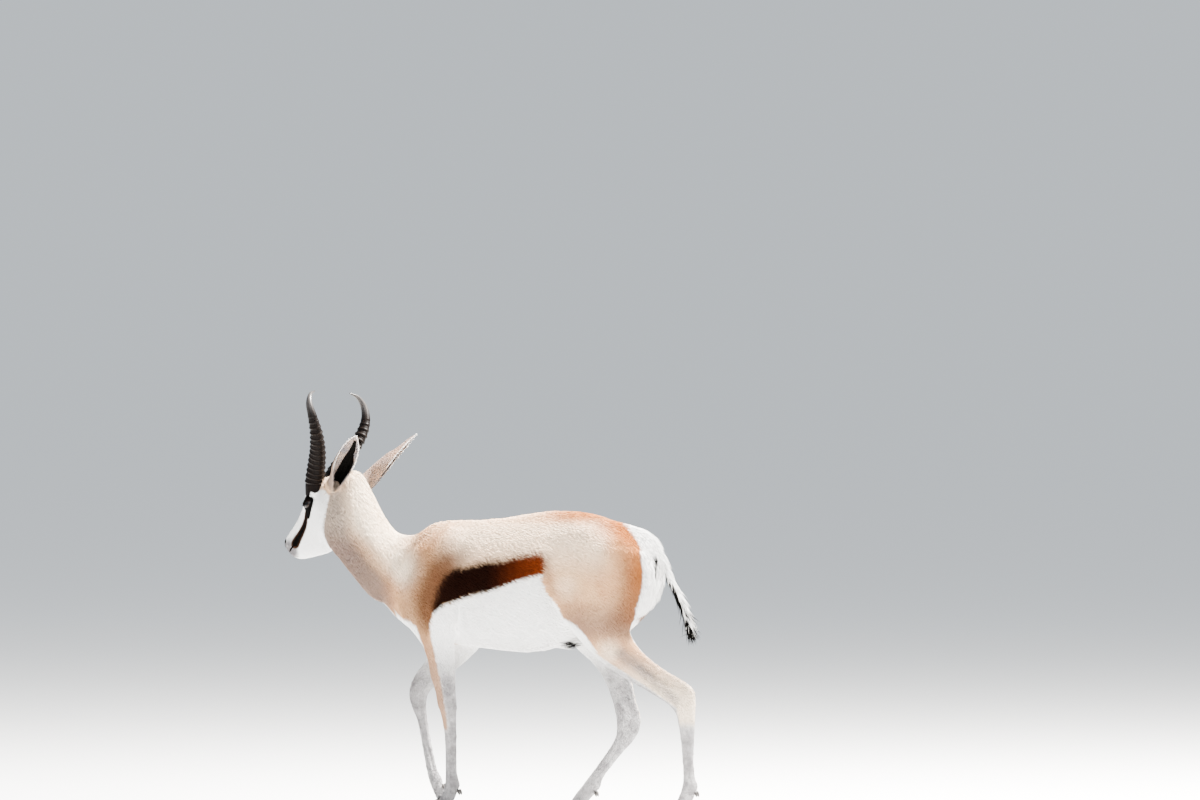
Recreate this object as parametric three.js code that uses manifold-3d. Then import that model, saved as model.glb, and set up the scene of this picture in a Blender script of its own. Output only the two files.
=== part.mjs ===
// A life-size springbok ram on a slow walk, its head turned a little to its right.
// Millimetres, +Z up. The nose points along -X and the animal's left side along -Y.
import * as THREE from "three";
import { mergeVertices } from "three/addons/utils/BufferGeometryUtils.js";
import Module from "manifold-3d";

const wasm = await Module();
wasm.setup();

// Driving dimensions
const JOINT_GAP = 0.3; // between nodes that meet face to face
const HEAD_NOSE = [-669, 93, 687]; // tip of the nose
const HEAD_YAW = 23; // degrees, to the animal's right
const HEAD_PITCH = 36; // degrees, nose down
const HEAD_ROLL = 5; // degrees, right side down
const EYE = { back: 146, up: 23, side: 36, radius: 16.5, slitLength: 31, slitHeight: 20 };
const HORN = { base: 26.5, oval: 0.82, rings: 16, ringed: 0.74, ridge: 2, tip: 1.2 };
const EAR = { length: 190, wall: 2.6, root: 20, bow: 10 };
const EARS = {
  left: { side: 1, at: [240, 41, 20], along: [0.658, 0.333, 0.676], opening: [0.504, 0.472, -0.723] },
  right: { side: -1, at: [262, 38, 8], along: [0.538, 0.518, 0.666], opening: [0.7, 0.36, -0.61] },
};
const CLAW = { length: 56, width: 15, toeHeight: 33, heelHeight: 19, cleft: 1.6 };
const DEWCLAW = { length: 17, width: 10, thick: 7 };
const TAIL = { top: 14, end: 6, flat: 0.8 };
const TUFT = { locks: 18, from: 0.4, length: 68, width: 10, thick: 2.6, splay: 0.26, seed: 11 };
const SHEATH = { at: [98, 0, 446], half: [30, 11, 13], lean: 16 };

const fur = (color) => new THREE.MeshStandardMaterial({ color, roughness: 0.9, metalness: 0 });
const horn = (color, roughness) => new THREE.MeshStandardMaterial({ color, roughness, metalness: 0 });

// Seeded draws between 0 and 1
function draws(seed) {
  let state = seed;
  return () => {
    state = (state * 1664525 + 1013904223) % 4294967296;
    return state / 4294967296;
  };
}

// Welds a geometry down to its positions, with its faces turned outwards
function weld(geometry) {
  const bare = geometry.index ? geometry.toNonIndexed() : geometry.clone();
  for (const name of Object.keys(bare.attributes)) {
    if (name !== "position") bare.deleteAttribute(name);
  }
  const welded = mergeVertices(bare, 1e-3);
  const { position } = welded.attributes;
  const corners = Array.from(welded.index.array);
  const [a, b, c] = [new THREE.Vector3(), new THREE.Vector3(), new THREE.Vector3()];
  const faces = [];
  let volume = 0;
  for (let i = 0; i < corners.length; i += 3) {
    const [p, q, r] = corners.slice(i, i + 3);
    if (p === q || q === r || r === p) continue;
    faces.push(p, q, r);
    a.fromBufferAttribute(position, p);
    b.fromBufferAttribute(position, q);
    c.fromBufferAttribute(position, r);
    volume += a.dot(b.cross(c));
  }
  welded.setIndex(volume < 0 ? faces.reverse() : faces);
  return welded;
}

function toSolid(geometry) {
  const welded = weld(geometry);
  const vertProperties = new Float32Array(welded.attributes.position.array);
  const triVerts = new Uint32Array(welded.index.array);
  return new wasm.Manifold(new wasm.Mesh({ numProp: 3, vertProperties, triVerts }));
}

// The same surface moved out along its normals
function grown(geometry, amount = JOINT_GAP) {
  const moved = weld(geometry);
  moved.computeVertexNormals();
  const { position, normal } = moved.attributes;
  for (let i = 0; i < position.count; i += 1) {
    position.setXYZ(
      i,
      position.getX(i) + amount * normal.getX(i),
      position.getY(i) + amount * normal.getY(i),
      position.getZ(i) + amount * normal.getZ(i),
    );
  }
  moved.deleteAttribute("normal");
  return moved;
}

// The largest closed surface of a solid, as a geometry
function toGeometry(body) {
  const [largest] = body.decompose().sort((p, q) => q.volume() - p.volume());
  const mesh = largest.getMesh();
  const positions = new Float32Array(mesh.numVert * 3);
  for (let i = 0; i < mesh.numVert; i += 1) {
    for (let k = 0; k < 3; k += 1) positions[3 * i + k] = mesh.vertProperties[mesh.numProp * i + k];
  }
  const geometry = new THREE.BufferGeometry();
  geometry.setAttribute("position", new THREE.BufferAttribute(positions, 3));
  geometry.setIndex(Array.from(mesh.triVerts));
  return geometry;
}

// A body lofted through sections. Each section spans a front and a back point in side view,
// with its middle at y and its half width across. widest says how far back its widest part lies,
// front and back pinches above 1 narrow that edge, and cord hollows it before its back edge.
function loft(sections, { sides = 20, perSpan = 2, swells = [] } = {}) {
  const through = (first, second) =>
    new THREE.SplineCurve(sections.map((s) => new THREE.Vector2(first(s), second(s))));
  const front = through((s) => s.front[0], (s) => s.front[1]);
  const back = through((s) => s.back[0], (s) => s.back[1]);
  const across = through((s) => s.y ?? 0, (s) => s.half);
  const shape = through((s) => s.widest ?? 0.5, (s) => s.cord ?? 0);
  const pinch = through((s) => s.pinchFront ?? 1, (s) => s.pinchBack ?? 1);
  const geometry = new THREE.CylinderGeometry(1, 1, 1, sides, Math.round((sections.length - 1) * perSpan));
  const { position } = geometry.attributes;
  const point = new THREE.Vector3();
  for (let i = 0; i < position.count; i += 1) {
    const t = THREE.MathUtils.clamp(position.getY(i) + 0.5, 0, 1);
    const [f, b, w, s, p] = [front, back, across, shape, pinch].map((curve) => curve.getPoint(t));
    const depth = position.getZ(i);
    const side = position.getX(i);
    const q = depth < 0 ? s.x * (1 + depth) : s.x + depth * (1 - s.x);
    const power = depth < 0 ? p.x : p.y;
    const hollow = depth > 0 ? 1 - 0.66 * s.y * Math.exp(-(((depth - 0.52) / 0.24) ** 2)) : 1;
    const reach = Math.sign(side) * Math.abs(side) ** power * hollow * Math.max(w.y, 0.5);
    point.set(f.x + (b.x - f.x) * q, w.x + reach, f.y + (b.y - f.y) * q);
    const centre = new THREE.Vector3((f.x + b.x) / 2, w.x, (f.y + b.y) / 2);
    const away = point.clone().sub(centre);
    let lift = 0;
    for (const swell of swells) {
      const gap = point.distanceTo(new THREE.Vector3(...swell.at)) / swell.reach;
      lift += swell.lift * Math.exp(-gap * gap);
    }
    if (away.length() > 1e-6) point.addScaledVector(away.normalize(), lift);
    position.setXYZ(i, point.x, point.y, point.z);
  }
  return geometry;
}

// A tube of varying oval section along a curve
function tube(curve, steps, sides, radii) {
  const frames = curve.computeFrenetFrames(steps, false);
  const geometry = new THREE.CylinderGeometry(1, 1, 1, sides, steps);
  const { position } = geometry.attributes;
  for (let i = 0; i < position.count; i += 1) {
    const t = THREE.MathUtils.clamp(position.getY(i) + 0.5, 0, 1);
    const step = Math.round(t * steps);
    const [wide, deep] = radii(t);
    const point = curve.getPointAt(t);
    point.addScaledVector(frames.normals[step], position.getX(i) * wide);
    point.addScaledVector(frames.binormals[step], position.getZ(i) * deep);
    position.setXYZ(i, point.x, point.y, point.z);
  }
  return geometry;
}

// Every finished piece: the geometry that shows and the slightly larger one that others are cut by
const pieces = new Map();

function touches(first, second) {
  first.computeBoundingBox();
  second.computeBoundingBox();
  return first.boundingBox.intersectsBox(second.boundingBox);
}

// Adds a piece, cut clear of every piece added before it
function addPiece(name, material, geometry, finish = (body) => body) {
  let body = toSolid(geometry);
  const cutter = grown(geometry);
  for (const other of pieces.values()) {
    if (touches(cutter, other.cutter)) body = body.subtract(toSolid(other.cutter));
  }
  body = finish(body);
  pieces.set(name, { material, cutter, geometry: toGeometry(body) });
}

// Head frame: back from the nose, up out of the forehead, and side to the animal's left
const yaw = THREE.MathUtils.degToRad(HEAD_YAW);
const pitch = THREE.MathUtils.degToRad(HEAD_PITCH);
const level = new THREE.Vector3(Math.cos(yaw), -Math.sin(yaw), 0);
const upright = new THREE.Vector3(0, 0, 1);
const headBack = level.clone().multiplyScalar(Math.cos(pitch)).addScaledVector(upright, Math.sin(pitch));
const leftward = new THREE.Vector3(-Math.sin(yaw), -Math.cos(yaw), 0);
const headUp = level.clone().multiplyScalar(-Math.sin(pitch)).addScaledVector(upright, Math.cos(pitch));
const headSide = leftward.clone();
for (const axis of [headUp, headSide]) axis.applyAxisAngle(headBack, THREE.MathUtils.degToRad(-HEAD_ROLL));
const headFrame = new THREE.Matrix4()
  .makeBasis(headBack, headSide, headUp)
  .setPosition(new THREE.Vector3(...HEAD_NOSE));
const onHead = (back, side, up) => new THREE.Vector3(back, side, up).applyMatrix4(headFrame);

// Eyes
function eyeball(side, radius) {
  const ball = new THREE.SphereGeometry(radius, 14, 9);
  return ball.translate(EYE.back, side * EYE.side, EYE.up);
}

// Horns: a lyre that leans back, spreads, and hooks up and in, ringed over most of its length
function hornGeometry(side) {
  const path = [
    [165, 26, 39],
    [184, 30, 65],
    [221, 43, 90],
    [261, 63, 112],
    [296, 86, 138],
    [320, 103, 173],
    [331, 106, 206],
    [337, 92, 230],
    [337, 67, 242],
  ];
  const curve = new THREE.CatmullRomCurve3(path.map(([back, out, up]) => onHead(back, side * out, up)));
  const perRing = 3;
  const steps = Math.round((HORN.rings * perRing) / HORN.ringed);
  const crest = [-0.6, 1, 0.35];
  return tube(curve, steps, 8, (t) => {
    const taper = HORN.tip + (HORN.base - HORN.tip) * (1 - t ** 1.5) ** 0.85;
    const step = Math.round(t * steps);
    const ringed = t < HORN.ringed && t > 0.1;
    const fade = THREE.MathUtils.clamp((HORN.ringed - t) * 6, 0.35, 1);
    const ring = ringed ? crest[step % perRing] * HORN.ridge * fade : 0;
    return [taper * HORN.oval + ring, taper + ring];
  });
}

// Ears: a leaf-shaped cup, a closed tube at its root and open to the side above it
function earGeometry(root, along, opening) {
  const direction = along.clone().normalize();
  const across = new THREE.Vector3().crossVectors(direction, opening).normalize();
  const out = new THREE.Vector3().crossVectors(across, direction).normalize();
  const start = root.clone().addScaledVector(direction, -EAR.root);
  const reach = EAR.length + EAR.root;
  const line = (values) => {
    const stops = values.map(([t, v]) => new THREE.Vector2(t, v));
    return (t) => {
      let i = 1;
      while (i < stops.length - 1 && stops[i].x < t) i += 1;
      return THREE.MathUtils.mapLinear(t, stops[i - 1].x, stops[i].x, stops[i - 1].y, stops[i].y);
    };
  };
  const halfWidth = line([
    [0, 15], [0.14, 16.5], [0.28, 19], [0.42, 25], [0.55, 28], [0.7, 26], [0.84, 19], [0.94, 10], [1, 1.2],
  ]);
  const cupDepth = line([
    [0, 17], [0.14, 21], [0.28, 24], [0.42, 25], [0.56, 22.5], [0.71, 14.5], [0.85, 9], [0.94, 5], [1, 1],
  ]);
  const wrap = line([[0, 165], [0.14, 155], [0.3, 122], [0.45, 105], [0.6, 94], [0.8, 86], [1, 80]]);
  const wall = line([[0, 13], [0.12, 12], [0.22, 3.4], [0.9, EAR.wall], [1, 0.9]]);
  const geometry = new THREE.CylinderGeometry(1, 1, 1, 16, 12);
  const { position } = geometry.attributes;
  for (let i = 0; i < position.count; i += 1) {
    const t = THREE.MathUtils.clamp(position.getY(i) + 0.5, 0, 1);
    const onRim = Math.hypot(position.getX(i), position.getZ(i)) > 0.5;
    const turn = Math.atan2(position.getX(i), position.getZ(i)) / Math.PI;
    // the outer wall runs over the first half of the turn and the inner wall back over the second
    const outer = turn >= 0;
    const v = outer ? 1 - 2 * turn : 1 + 2 * turn;
    const angle = THREE.MathUtils.degToRad(wrap(t)) * v;
    const inset = outer ? 0 : wall(t) * (1 - v ** 8);
    const wide = Math.max(halfWidth(t) - inset, 0.2);
    const deep = Math.max(cupDepth(t) - inset, 0.1);
    const bow = EAR.bow * Math.sin(Math.PI * t ** 0.8);
    const point = start.clone().addScaledVector(direction, t * reach);
    const [sideways, outwards] = onRim ? [wide * Math.sin(angle), -deep * Math.cos(angle)] : [0, -cupDepth(t) * 0.4];
    point.addScaledVector(across, sideways);
    point.addScaledVector(out, outwards + bow);
    position.setXYZ(i, point.x, point.y, point.z);
  }
  return geometry;
}

// Head sections, in the head frame: jaw point, forehead point and half width
const HEAD = [
  { front: [0, -18], back: [-1, 0], half: 8 },
  { front: [4, -36], back: [2, 9], half: 16, pinchFront: 0.8, pinchBack: 0.8 },
  { front: [14, -54], back: [9, 14], half: 20, pinchFront: 0.9, pinchBack: 0.85 },
  { front: [32, -67], back: [28, 20], half: 21.5, pinchFront: 1, pinchBack: 0.9 },
  { front: [62, -81], back: [58, 29], half: 23, pinchFront: 1.05, pinchBack: 0.95 },
  { front: [94, -95], back: [92, 41], half: 28, widest: 0.58, pinchFront: 1.25, pinchBack: 0.9 },
  { front: [122, -104], back: [124, 54], half: 39, widest: 0.68, pinchFront: 1.4, pinchBack: 0.8 },
  { front: [150, -108], back: [152, 66], half: 47, widest: 0.71, pinchFront: 1.4, pinchBack: 0.75 },
  { front: [180, -106], back: [182, 71], half: 44, widest: 0.65, pinchFront: 1.25, pinchBack: 0.85 },
  { front: [206, -93], back: [210, 66], half: 41, widest: 0.6, pinchFront: 1.05, pinchBack: 0.9 },
  { front: [232, -64], back: [236, 54], half: 37 },
  { front: [252, -38], back: [254, 38], half: 28 },
  { front: [262, -8], back: [263, 20], half: 14 },
];

// Brows, cheek bones and the swell behind each nostril
const HEAD_SWELLS = [1, -1].flatMap((side) => [
  { at: [140, side * 42, 48], reach: 22, lift: 4 },
  { at: [176, side * 44, 20], reach: 24, lift: 3 },
  { at: [16, side * 17, -4], reach: 12, lift: 2 },
]);

const MOUTH = { corner: [50, -17], front: [-4, -29], sag: -3, depth: 2.6, height: 1.5 };

function headGeometry(grow = 0) {
  const shape = loft(HEAD, { sides: 20, perSpan: 1.5, swells: HEAD_SWELLS });
  return grow === 0 ? shape : grown(shape, grow);
}

// The slit of the mouth, on the skin only
function mouthCutter() {
  const [cornerBack, cornerUp] = MOUTH.corner;
  const [frontBack, frontUp] = MOUTH.front;
  const middle = [(cornerBack + frontBack) / 2, (cornerUp + frontUp) / 2 + 2 * MOUTH.sag];
  const outline = new THREE.Shape();
  outline.moveTo(frontBack, frontUp);
  outline.quadraticCurveTo(middle[0], middle[1], cornerBack, cornerUp);
  outline.quadraticCurveTo(middle[0], middle[1] + 2 * MOUTH.height, frontBack, frontUp + 2 * MOUTH.height);
  const slab = new THREE.ExtrudeGeometry(outline, { depth: 90, bevelEnabled: false, curveSegments: 3 });
  slab.rotateX(Math.PI / 2).translate(0, 45, 0);
  return toSolid(slab).subtract(toSolid(headGeometry(-MOUTH.depth)));
}

function nostrilCutter(side) {
  const hole = new THREE.SphereGeometry(1, 8, 6).scale(7, 2.6, 3.6);
  hole.rotateZ(THREE.MathUtils.degToRad(side * 38)).rotateY(THREE.MathUtils.degToRad(-32));
  return toSolid(hole.translate(5.5, side * 13.5, 3));
}

// The almond opening between the lids
function slitCutter(side) {
  const [half, rise] = [EYE.slitLength / 2, EYE.slitHeight / 2];
  const outline = new THREE.Shape();
  outline.moveTo(-half, -2);
  outline.quadraticCurveTo(0, rise * 2 - 1, half, 1);
  outline.quadraticCurveTo(0, -rise * 2 + 1, -half, -2);
  const slab = new THREE.ExtrudeGeometry(outline, { depth: 40, bevelEnabled: false, curveSegments: 4 });
  slab.rotateX(Math.PI / 2).translate(0, 20, 0);
  return toSolid(slab.translate(EYE.back, side * (EYE.side + 24), EYE.up));
}

function headBody() {
  let body = toSolid(headGeometry());
  for (const side of [1, -1]) {
    body = body.add(toSolid(eyeball(side, EYE.radius + 2.2)));
    body = body.subtract(toSolid(eyeball(side, EYE.radius + JOINT_GAP)));
    body = body.subtract(slitCutter(side)).subtract(nostrilCutter(side));
  }
  return body.subtract(mouthCutter());
}

// Neck sections: throat point, nape point, middle and half width
const NECK = [
  { front: [-330, 585], back: [-282, 690], half: 30, y: 0 },
  { front: [-352, 552], back: [-276, 716], half: 55, y: 0 },
  { front: [-394, 542], back: [-302, 722], half: 70, y: 0 },
  { front: [-430, 566], back: [-342, 722], half: 70, y: 0 },
  { front: [-468, 608], back: [-371, 747], half: 62, y: 2 },
  { front: [-503, 649], back: [-397, 789], half: 55, y: 5 },
  { front: [-535, 684], back: [-420, 832], half: 49, y: 9 },
  { front: [-552, 722], back: [-442, 868], half: 45, y: 13 },
  { front: [-550, 764], back: [-466, 884], half: 40, y: 17 },
  { front: [-552, 792], back: [-495, 880], half: 30, y: 21 },
];

// Trunk sections: belly point, back point and half width
const TRUNK = [
  { front: [-397, 560], back: [-352, 640], half: 36 },
  { front: [-368, 519], back: [-322, 700], half: 60, widest: 0.45 },
  { front: [-327, 486], back: [-294, 727], half: 74, widest: 0.42 },
  { front: [-286, 455], back: [-261, 749], half: 84, widest: 0.42, pinchBack: 1.15 },
  { front: [-232, 440], back: [-224, 759], half: 90, widest: 0.42, pinchBack: 1.25 },
  { front: [-170, 435], back: [-166, 762], half: 97, widest: 0.42, pinchBack: 1.2 },
  { front: [-98, 427], back: [-98, 763], half: 104, widest: 0.44, pinchBack: 1.1 },
  { front: [-20, 419], back: [-18, 776], half: 107, widest: 0.46 },
  { front: [52, 426], back: [52, 786], half: 103, widest: 0.5 },
  { front: [100, 444], back: [106, 786], half: 96, widest: 0.55 },
  { front: [146, 470], back: [162, 780], half: 90, widest: 0.6 },
  { front: [196, 482], back: [216, 764], half: 86, widest: 0.62 },
  { front: [246, 490], back: [266, 751], half: 80, widest: 0.62 },
  { front: [292, 512], back: [310, 731], half: 70, widest: 0.6 },
  { front: [324, 556], back: [337, 706], half: 54, widest: 0.55 },
  { front: [338, 612], back: [344, 668], half: 30 },
];

// Hip bones, ribs behind the elbow and the shoulder blades
const TRUNK_SWELLS = [1, -1].flatMap((side) => [
  { at: [158, side * 64, 742], reach: 42, lift: 7 },
  { at: [-60, side * 100, 560], reach: 110, lift: 3 },
]);

// Fore legs: front point, back point, middle and half width, from the shoulder blade to the pastern
const shoulder = (side, shift = 0) => [
  { front: [-212 + shift, 742], back: [-158 + shift, 738], half: 12, y: side * 40 },
  { front: [-254 + shift, 704], back: [-152 + shift, 694], half: 24, y: side * 56 },
  { front: [-292 + shift, 645], back: [-160 + shift, 632], half: 31, y: side * 62 },
  { front: [-322 + shift, 585], back: [-165 + shift, 575], half: 35, y: side * 64 },
  { front: [-334 + shift, 538], back: [-168 + shift, 528], half: 36, y: side * 66 },
];

const FORE_LEFT = [
  ...shoulder(-1),
  { front: [-312, 498], back: [-172, 494], half: 34, y: -68 },
  { front: [-282, 462], back: [-180, 474], half: 30, y: -69, widest: 0.45 },
  { front: [-258, 426], back: [-180, 428], half: 26, y: -69, widest: 0.4 },
  { front: [-245, 362], back: [-178, 364], half: 22, y: -67, widest: 0.4 },
  { front: [-231, 316], back: [-178, 318], half: 19.5, y: -65 },
  { front: [-227, 292], back: [-175, 288], half: 20, y: -64 },
  { front: [-217, 256], back: [-177, 254], half: 16, y: -63 },
  { front: [-210, 212], back: [-176, 212], half: 12.5, y: -62 },
  { front: [-208, 160], back: [-176, 160], half: 12, y: -60 },
  { front: [-208, 112], back: [-176, 114], half: 13, y: -59 },
  { front: [-210, 84], back: [-170, 82], half: 16.5, y: -58 },
  { front: [-218, 60], back: [-180, 54], half: 15.5, y: -58 },
  { front: [-228, 42], back: [-190, 32], half: 15.5, y: -58 },
  { front: [-234, 31], back: [-195, 19], half: 14, y: -58 },
];

const FORE_RIGHT = [
  ...shoulder(1, -6),
  { front: [-314, 500], back: [-152, 492], half: 34, y: 68 },
  { front: [-292, 460], back: [-138, 452], half: 30, y: 69, widest: 0.55 },
  { front: [-284, 428], back: [-172, 408], half: 26, y: 69, widest: 0.5 },
  { front: [-298, 392], back: [-222, 366], half: 22, y: 68, widest: 0.45 },
  { front: [-328, 352], back: [-270, 330], half: 19.5, y: 67 },
  { front: [-337, 312], back: [-290, 304], half: 20, y: 66 },
  { front: [-331, 276], back: [-291, 268], half: 16, y: 65 },
  { front: [-317, 246], back: [-287, 240], half: 12.5, y: 64 },
  { front: [-308, 204], back: [-280, 199], half: 12, y: 63 },
  { front: [-293, 125], back: [-263, 121], half: 12.5, y: 61 },
  { front: [-285, 94], back: [-250, 92], half: 16, y: 60 },
  { front: [-275, 66], back: [-243, 70], half: 15, y: 60 },
  { front: [-266, 46], back: [-230, 52], half: 14.5, y: 60 },
  { front: [-260, 33], back: [-222, 42], half: 13.5, y: 60 },
];

// Hind legs, from the croup to the pastern. The cord is the heel tendon behind the shin
const thigh = (side, shift = 0) => [
  { front: [192 + shift, 744], back: [262 + shift, 728], half: 14, y: side * 36 },
  { front: [142 + shift, 712], back: [314 + shift, 694], half: 32, y: side * 50 },
  { front: [98 + shift, 660], back: [344 + shift / 2, 640], half: 38, y: side * 54 },
  { front: [72 + 1.6 * shift, 602], back: [341 + shift / 2, 588], half: 40, y: side * 58 },
];

const HIND_LEFT = [
  ...thigh(-1),
  { front: [86, 545], back: [322, 542], half: 39, y: -61 },
  { front: [112, 500], back: [296, 512], half: 38, y: -64, widest: 0.45 },
  { front: [146, 460], back: [284, 488], half: 36, y: -67, widest: 0.42 },
  { front: [186, 420], back: [288, 468], half: 33, y: -69, widest: 0.4, cord: 0.1 },
  { front: [230, 386], back: [303, 445], half: 28, y: -70, widest: 0.4, cord: 0.35 },
  { front: [275, 357], back: [325, 422], half: 24, y: -70, widest: 0.4, cord: 0.75 },
  { front: [312, 337], back: [353, 399], half: 21, y: -69, widest: 0.4, cord: 1 },
  { front: [348, 316], back: [386, 378], half: 19, y: -67, widest: 0.4, cord: 1 },
  { front: [382, 294], back: [424, 357], half: 18, y: -65, widest: 0.42, cord: 0.7 },
  { front: [402, 270], back: [452, 334], half: 19, y: -64, widest: 0.4, cord: 0.25 },
  { front: [407, 244], back: [455, 288], half: 17.5, y: -63 },
  { front: [412, 215], back: [452, 228], half: 14, y: -62 },
  { front: [417, 165], back: [449, 170], half: 12.5, y: -62 },
  { front: [420, 115], back: [451, 118], half: 13, y: -62 },
  { front: [418, 88], back: [458, 85], half: 16.5, y: -62 },
  { front: [409, 62], back: [448, 55], half: 15.5, y: -62 },
  { front: [399, 43], back: [437, 32], half: 15.5, y: -62 },
  { front: [393, 31], back: [432, 19], half: 14, y: -62 },
];

const HIND_RIGHT = [
  ...thigh(1, -8),
  { front: [54, 545], back: [314, 545], half: 39, y: 62 },
  { front: [62, 498], back: [282, 508], half: 38, y: 64 },
  { front: [82, 456], back: [254, 482], half: 36, y: 66, widest: 0.45 },
  { front: [112, 424], back: [236, 456], half: 32, y: 67, widest: 0.42, cord: 0.1 },
  { front: [142, 398], back: [236, 424], half: 27, y: 68, widest: 0.4, cord: 0.4 },
  { front: [166, 370], back: [244, 388], half: 23, y: 68, widest: 0.4, cord: 0.8 },
  { front: [184, 338], back: [252, 352], half: 20.5, y: 67, widest: 0.4, cord: 1 },
  { front: [197, 304], back: [259, 316], half: 18.5, y: 67, widest: 0.4, cord: 0.95 },
  { front: [206, 272], back: [267, 284], half: 18, y: 66, widest: 0.42, cord: 0.7 },
  { front: [210, 244], back: [277, 254], half: 19, y: 66, widest: 0.42, cord: 0.2 },
  { front: [210, 214], back: [268, 210], half: 17.5, y: 66 },
  { front: [198, 186], back: [230, 168], half: 14, y: 66 },
  { front: [172, 150], back: [199, 130], half: 12.5, y: 66 },
  { front: [150, 120], back: [177, 102], half: 13, y: 66 },
  { front: [132, 97], back: [166, 76], half: 16.5, y: 66 },
  { front: [114, 74], back: [146, 50], half: 15.5, y: 66 },
  { front: [98, 54], back: [128, 31], half: 15.5, y: 66 },
  { front: [86, 36], back: [120, 17], half: 14, y: 66 },
];

// One half of a hoof, its sole flat on the floor and its toe along -X
function clawGeometry(outer) {
  const geometry = new THREE.CylinderGeometry(1, 1, 1, 12, 2);
  const { position } = geometry.attributes;
  for (let i = 0; i < position.count; i += 1) {
    const t = position.getY(i) + 0.5;
    const [forward, side] = [position.getZ(i), position.getX(i) * outer];
    const length = CLAW.length * (0.5 - 0.13 * t);
    const taper = 1 - 0.5 * Math.max(forward, 0) ** 1.5;
    const width = (side > 0 ? CLAW.width * 0.62 : CLAW.width * 0.38) * taper * (1 - 0.1 * t);
    const height = THREE.MathUtils.lerp(CLAW.heelHeight, CLAW.toeHeight, (forward + 1) / 2);
    const x = -forward * length + t * CLAW.toeHeight * 0.42;
    const y = outer * (CLAW.cleft / 2 + CLAW.width * 0.38 + side * width);
    position.setXYZ(i, x, y, t * height);
  }
  return geometry;
}

function dewclawGeometry() {
  const { thick, width, length } = DEWCLAW;
  return new THREE.SphereGeometry(1, 7, 5).scale(thick / 2, width / 2, length / 2);
}

// Feet: heel-to-toe middle on the floor, lean of the hoof and place of its dewclaws
const FEET = {
  fore_left: { at: [-224, -58, 0], tip: 0, dewclaw: [-170, 66] },
  fore_right: { at: [-245, 60, 0], tip: 44, dewclaw: [-243, 74] },
  hind_left: { at: [404, -62, 0], tip: 0, dewclaw: [457, 68] },
  hind_right: { at: [91, 66, 0], tip: 0, dewclaw: [158, 60] },
};

const floorCutter = toSolid(new THREE.BoxGeometry(3000, 3000, 100).translate(0, 0, -50));

function addFoot(name, { at, tip, dewclaw }) {
  const hoofMaterial = () => horn(0x1b1917, 0.45);
  for (const [label, outer] of [["inner", 1], ["outer", -1]]) {
    const side = Math.sign(at[1]) * -outer;
    const claw = clawGeometry(side);
    if (tip > 0) claw.rotateY(THREE.MathUtils.degToRad(-tip)).translate(0, 0, 17.5);
    claw.translate(...at);
    addPiece(`hoof_${name}_${label}`, hoofMaterial(), claw, (body) => body.subtract(floorCutter));
  }
  for (const [label, outer] of [["inner", 1], ["outer", -1]]) {
    const side = Math.sign(at[1]) * -outer;
    const nub = dewclawGeometry().rotateY(THREE.MathUtils.degToRad(-18));
    nub.translate(dewclaw[0], at[1] + side * 9.5, dewclaw[1]);
    addPiece(`dewclaw_${name}_${label}`, hoofMaterial(), nub);
  }
}

// The sheath under the belly
function sheathGeometry() {
  const shape = new THREE.SphereGeometry(1, 10, 7).scale(...SHEATH.half);
  return shape.rotateY(THREE.MathUtils.degToRad(-SHEATH.lean)).translate(...SHEATH.at);
}

// Tail: a slim dock that hangs clear of the buttocks
const TAIL_PATH = [
  [318, 0, 706],
  [346, 0, 666],
  [370, 0, 612],
  [398, 0, 556],
  [415, 0, 508],
  [423, 0, 474],
];
const tailCurve = new THREE.CatmullRomCurve3(TAIL_PATH.map((point) => new THREE.Vector3(...point)));
const tailRadius = (t) => THREE.MathUtils.lerp(TAIL.top, TAIL.end, Math.min(1.3 * t, 1));

function tailGeometry() {
  return tube(tailCurve, 12, 10, (t) => {
    const radius = tailRadius(t) * (t > 0.95 ? 0.4 : 1);
    return [radius, radius * TAIL.flat];
  });
}

// One flat lock: it leaves its root along one direction and bends towards another
function lockGeometry({ root, direction, outward, length, width, thick, bend }) {
  const across = new THREE.Vector3().crossVectors(direction, outward).normalize();
  const geometry = new THREE.CylinderGeometry(1, 1, 1, 5, 3);
  const { position } = geometry.attributes;
  for (let i = 0; i < position.count; i += 1) {
    const t = THREE.MathUtils.clamp(position.getY(i) + 0.5, 0, 1);
    const narrow = Math.max(1 - t ** 2.2, 0.07);
    const point = root.clone().addScaledVector(direction, t * length);
    point.addScaledVector(outward, bend * t * t + (position.getZ(i) * thick * narrow) / 2);
    point.addScaledVector(across, (position.getX(i) * width * narrow) / 2);
    position.setXYZ(i, point.x, point.y, point.z);
  }
  return geometry;
}

// Locks round the lower tail, longest at its end
function tailLocks() {
  const draw = draws(TUFT.seed);
  const turn = Math.PI * (3 - Math.sqrt(5));
  const lift = new THREE.Vector3(0, 1, 0);
  return Array.from({ length: TUFT.locks }, (_, i) => {
    const share = i / (TUFT.locks - 1);
    const t = THREE.MathUtils.lerp(TUFT.from, 0.97, share);
    const along = tailCurve.getTangentAt(t);
    const outward = lift.clone().applyAxisAngle(along, i * turn + 0.4 * draw());
    const root = tailCurve.getPointAt(t).addScaledVector(outward, tailRadius(t) * 0.35);
    const direction = along.clone().addScaledVector(outward, TUFT.splay * (0.6 + 0.5 * draw())).normalize();
    const length = TUFT.length * THREE.MathUtils.lerp(0.5, 1, share) * (0.85 + 0.3 * draw());
    const bend = -0.13 * length * (0.7 + 0.6 * draw());
    const size = { width: TUFT.width * (0.85 + 0.3 * draw()), thick: TUFT.thick };
    return toSolid(lockGeometry({ root, direction, outward, length, bend, ...size }));
  });
}

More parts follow.
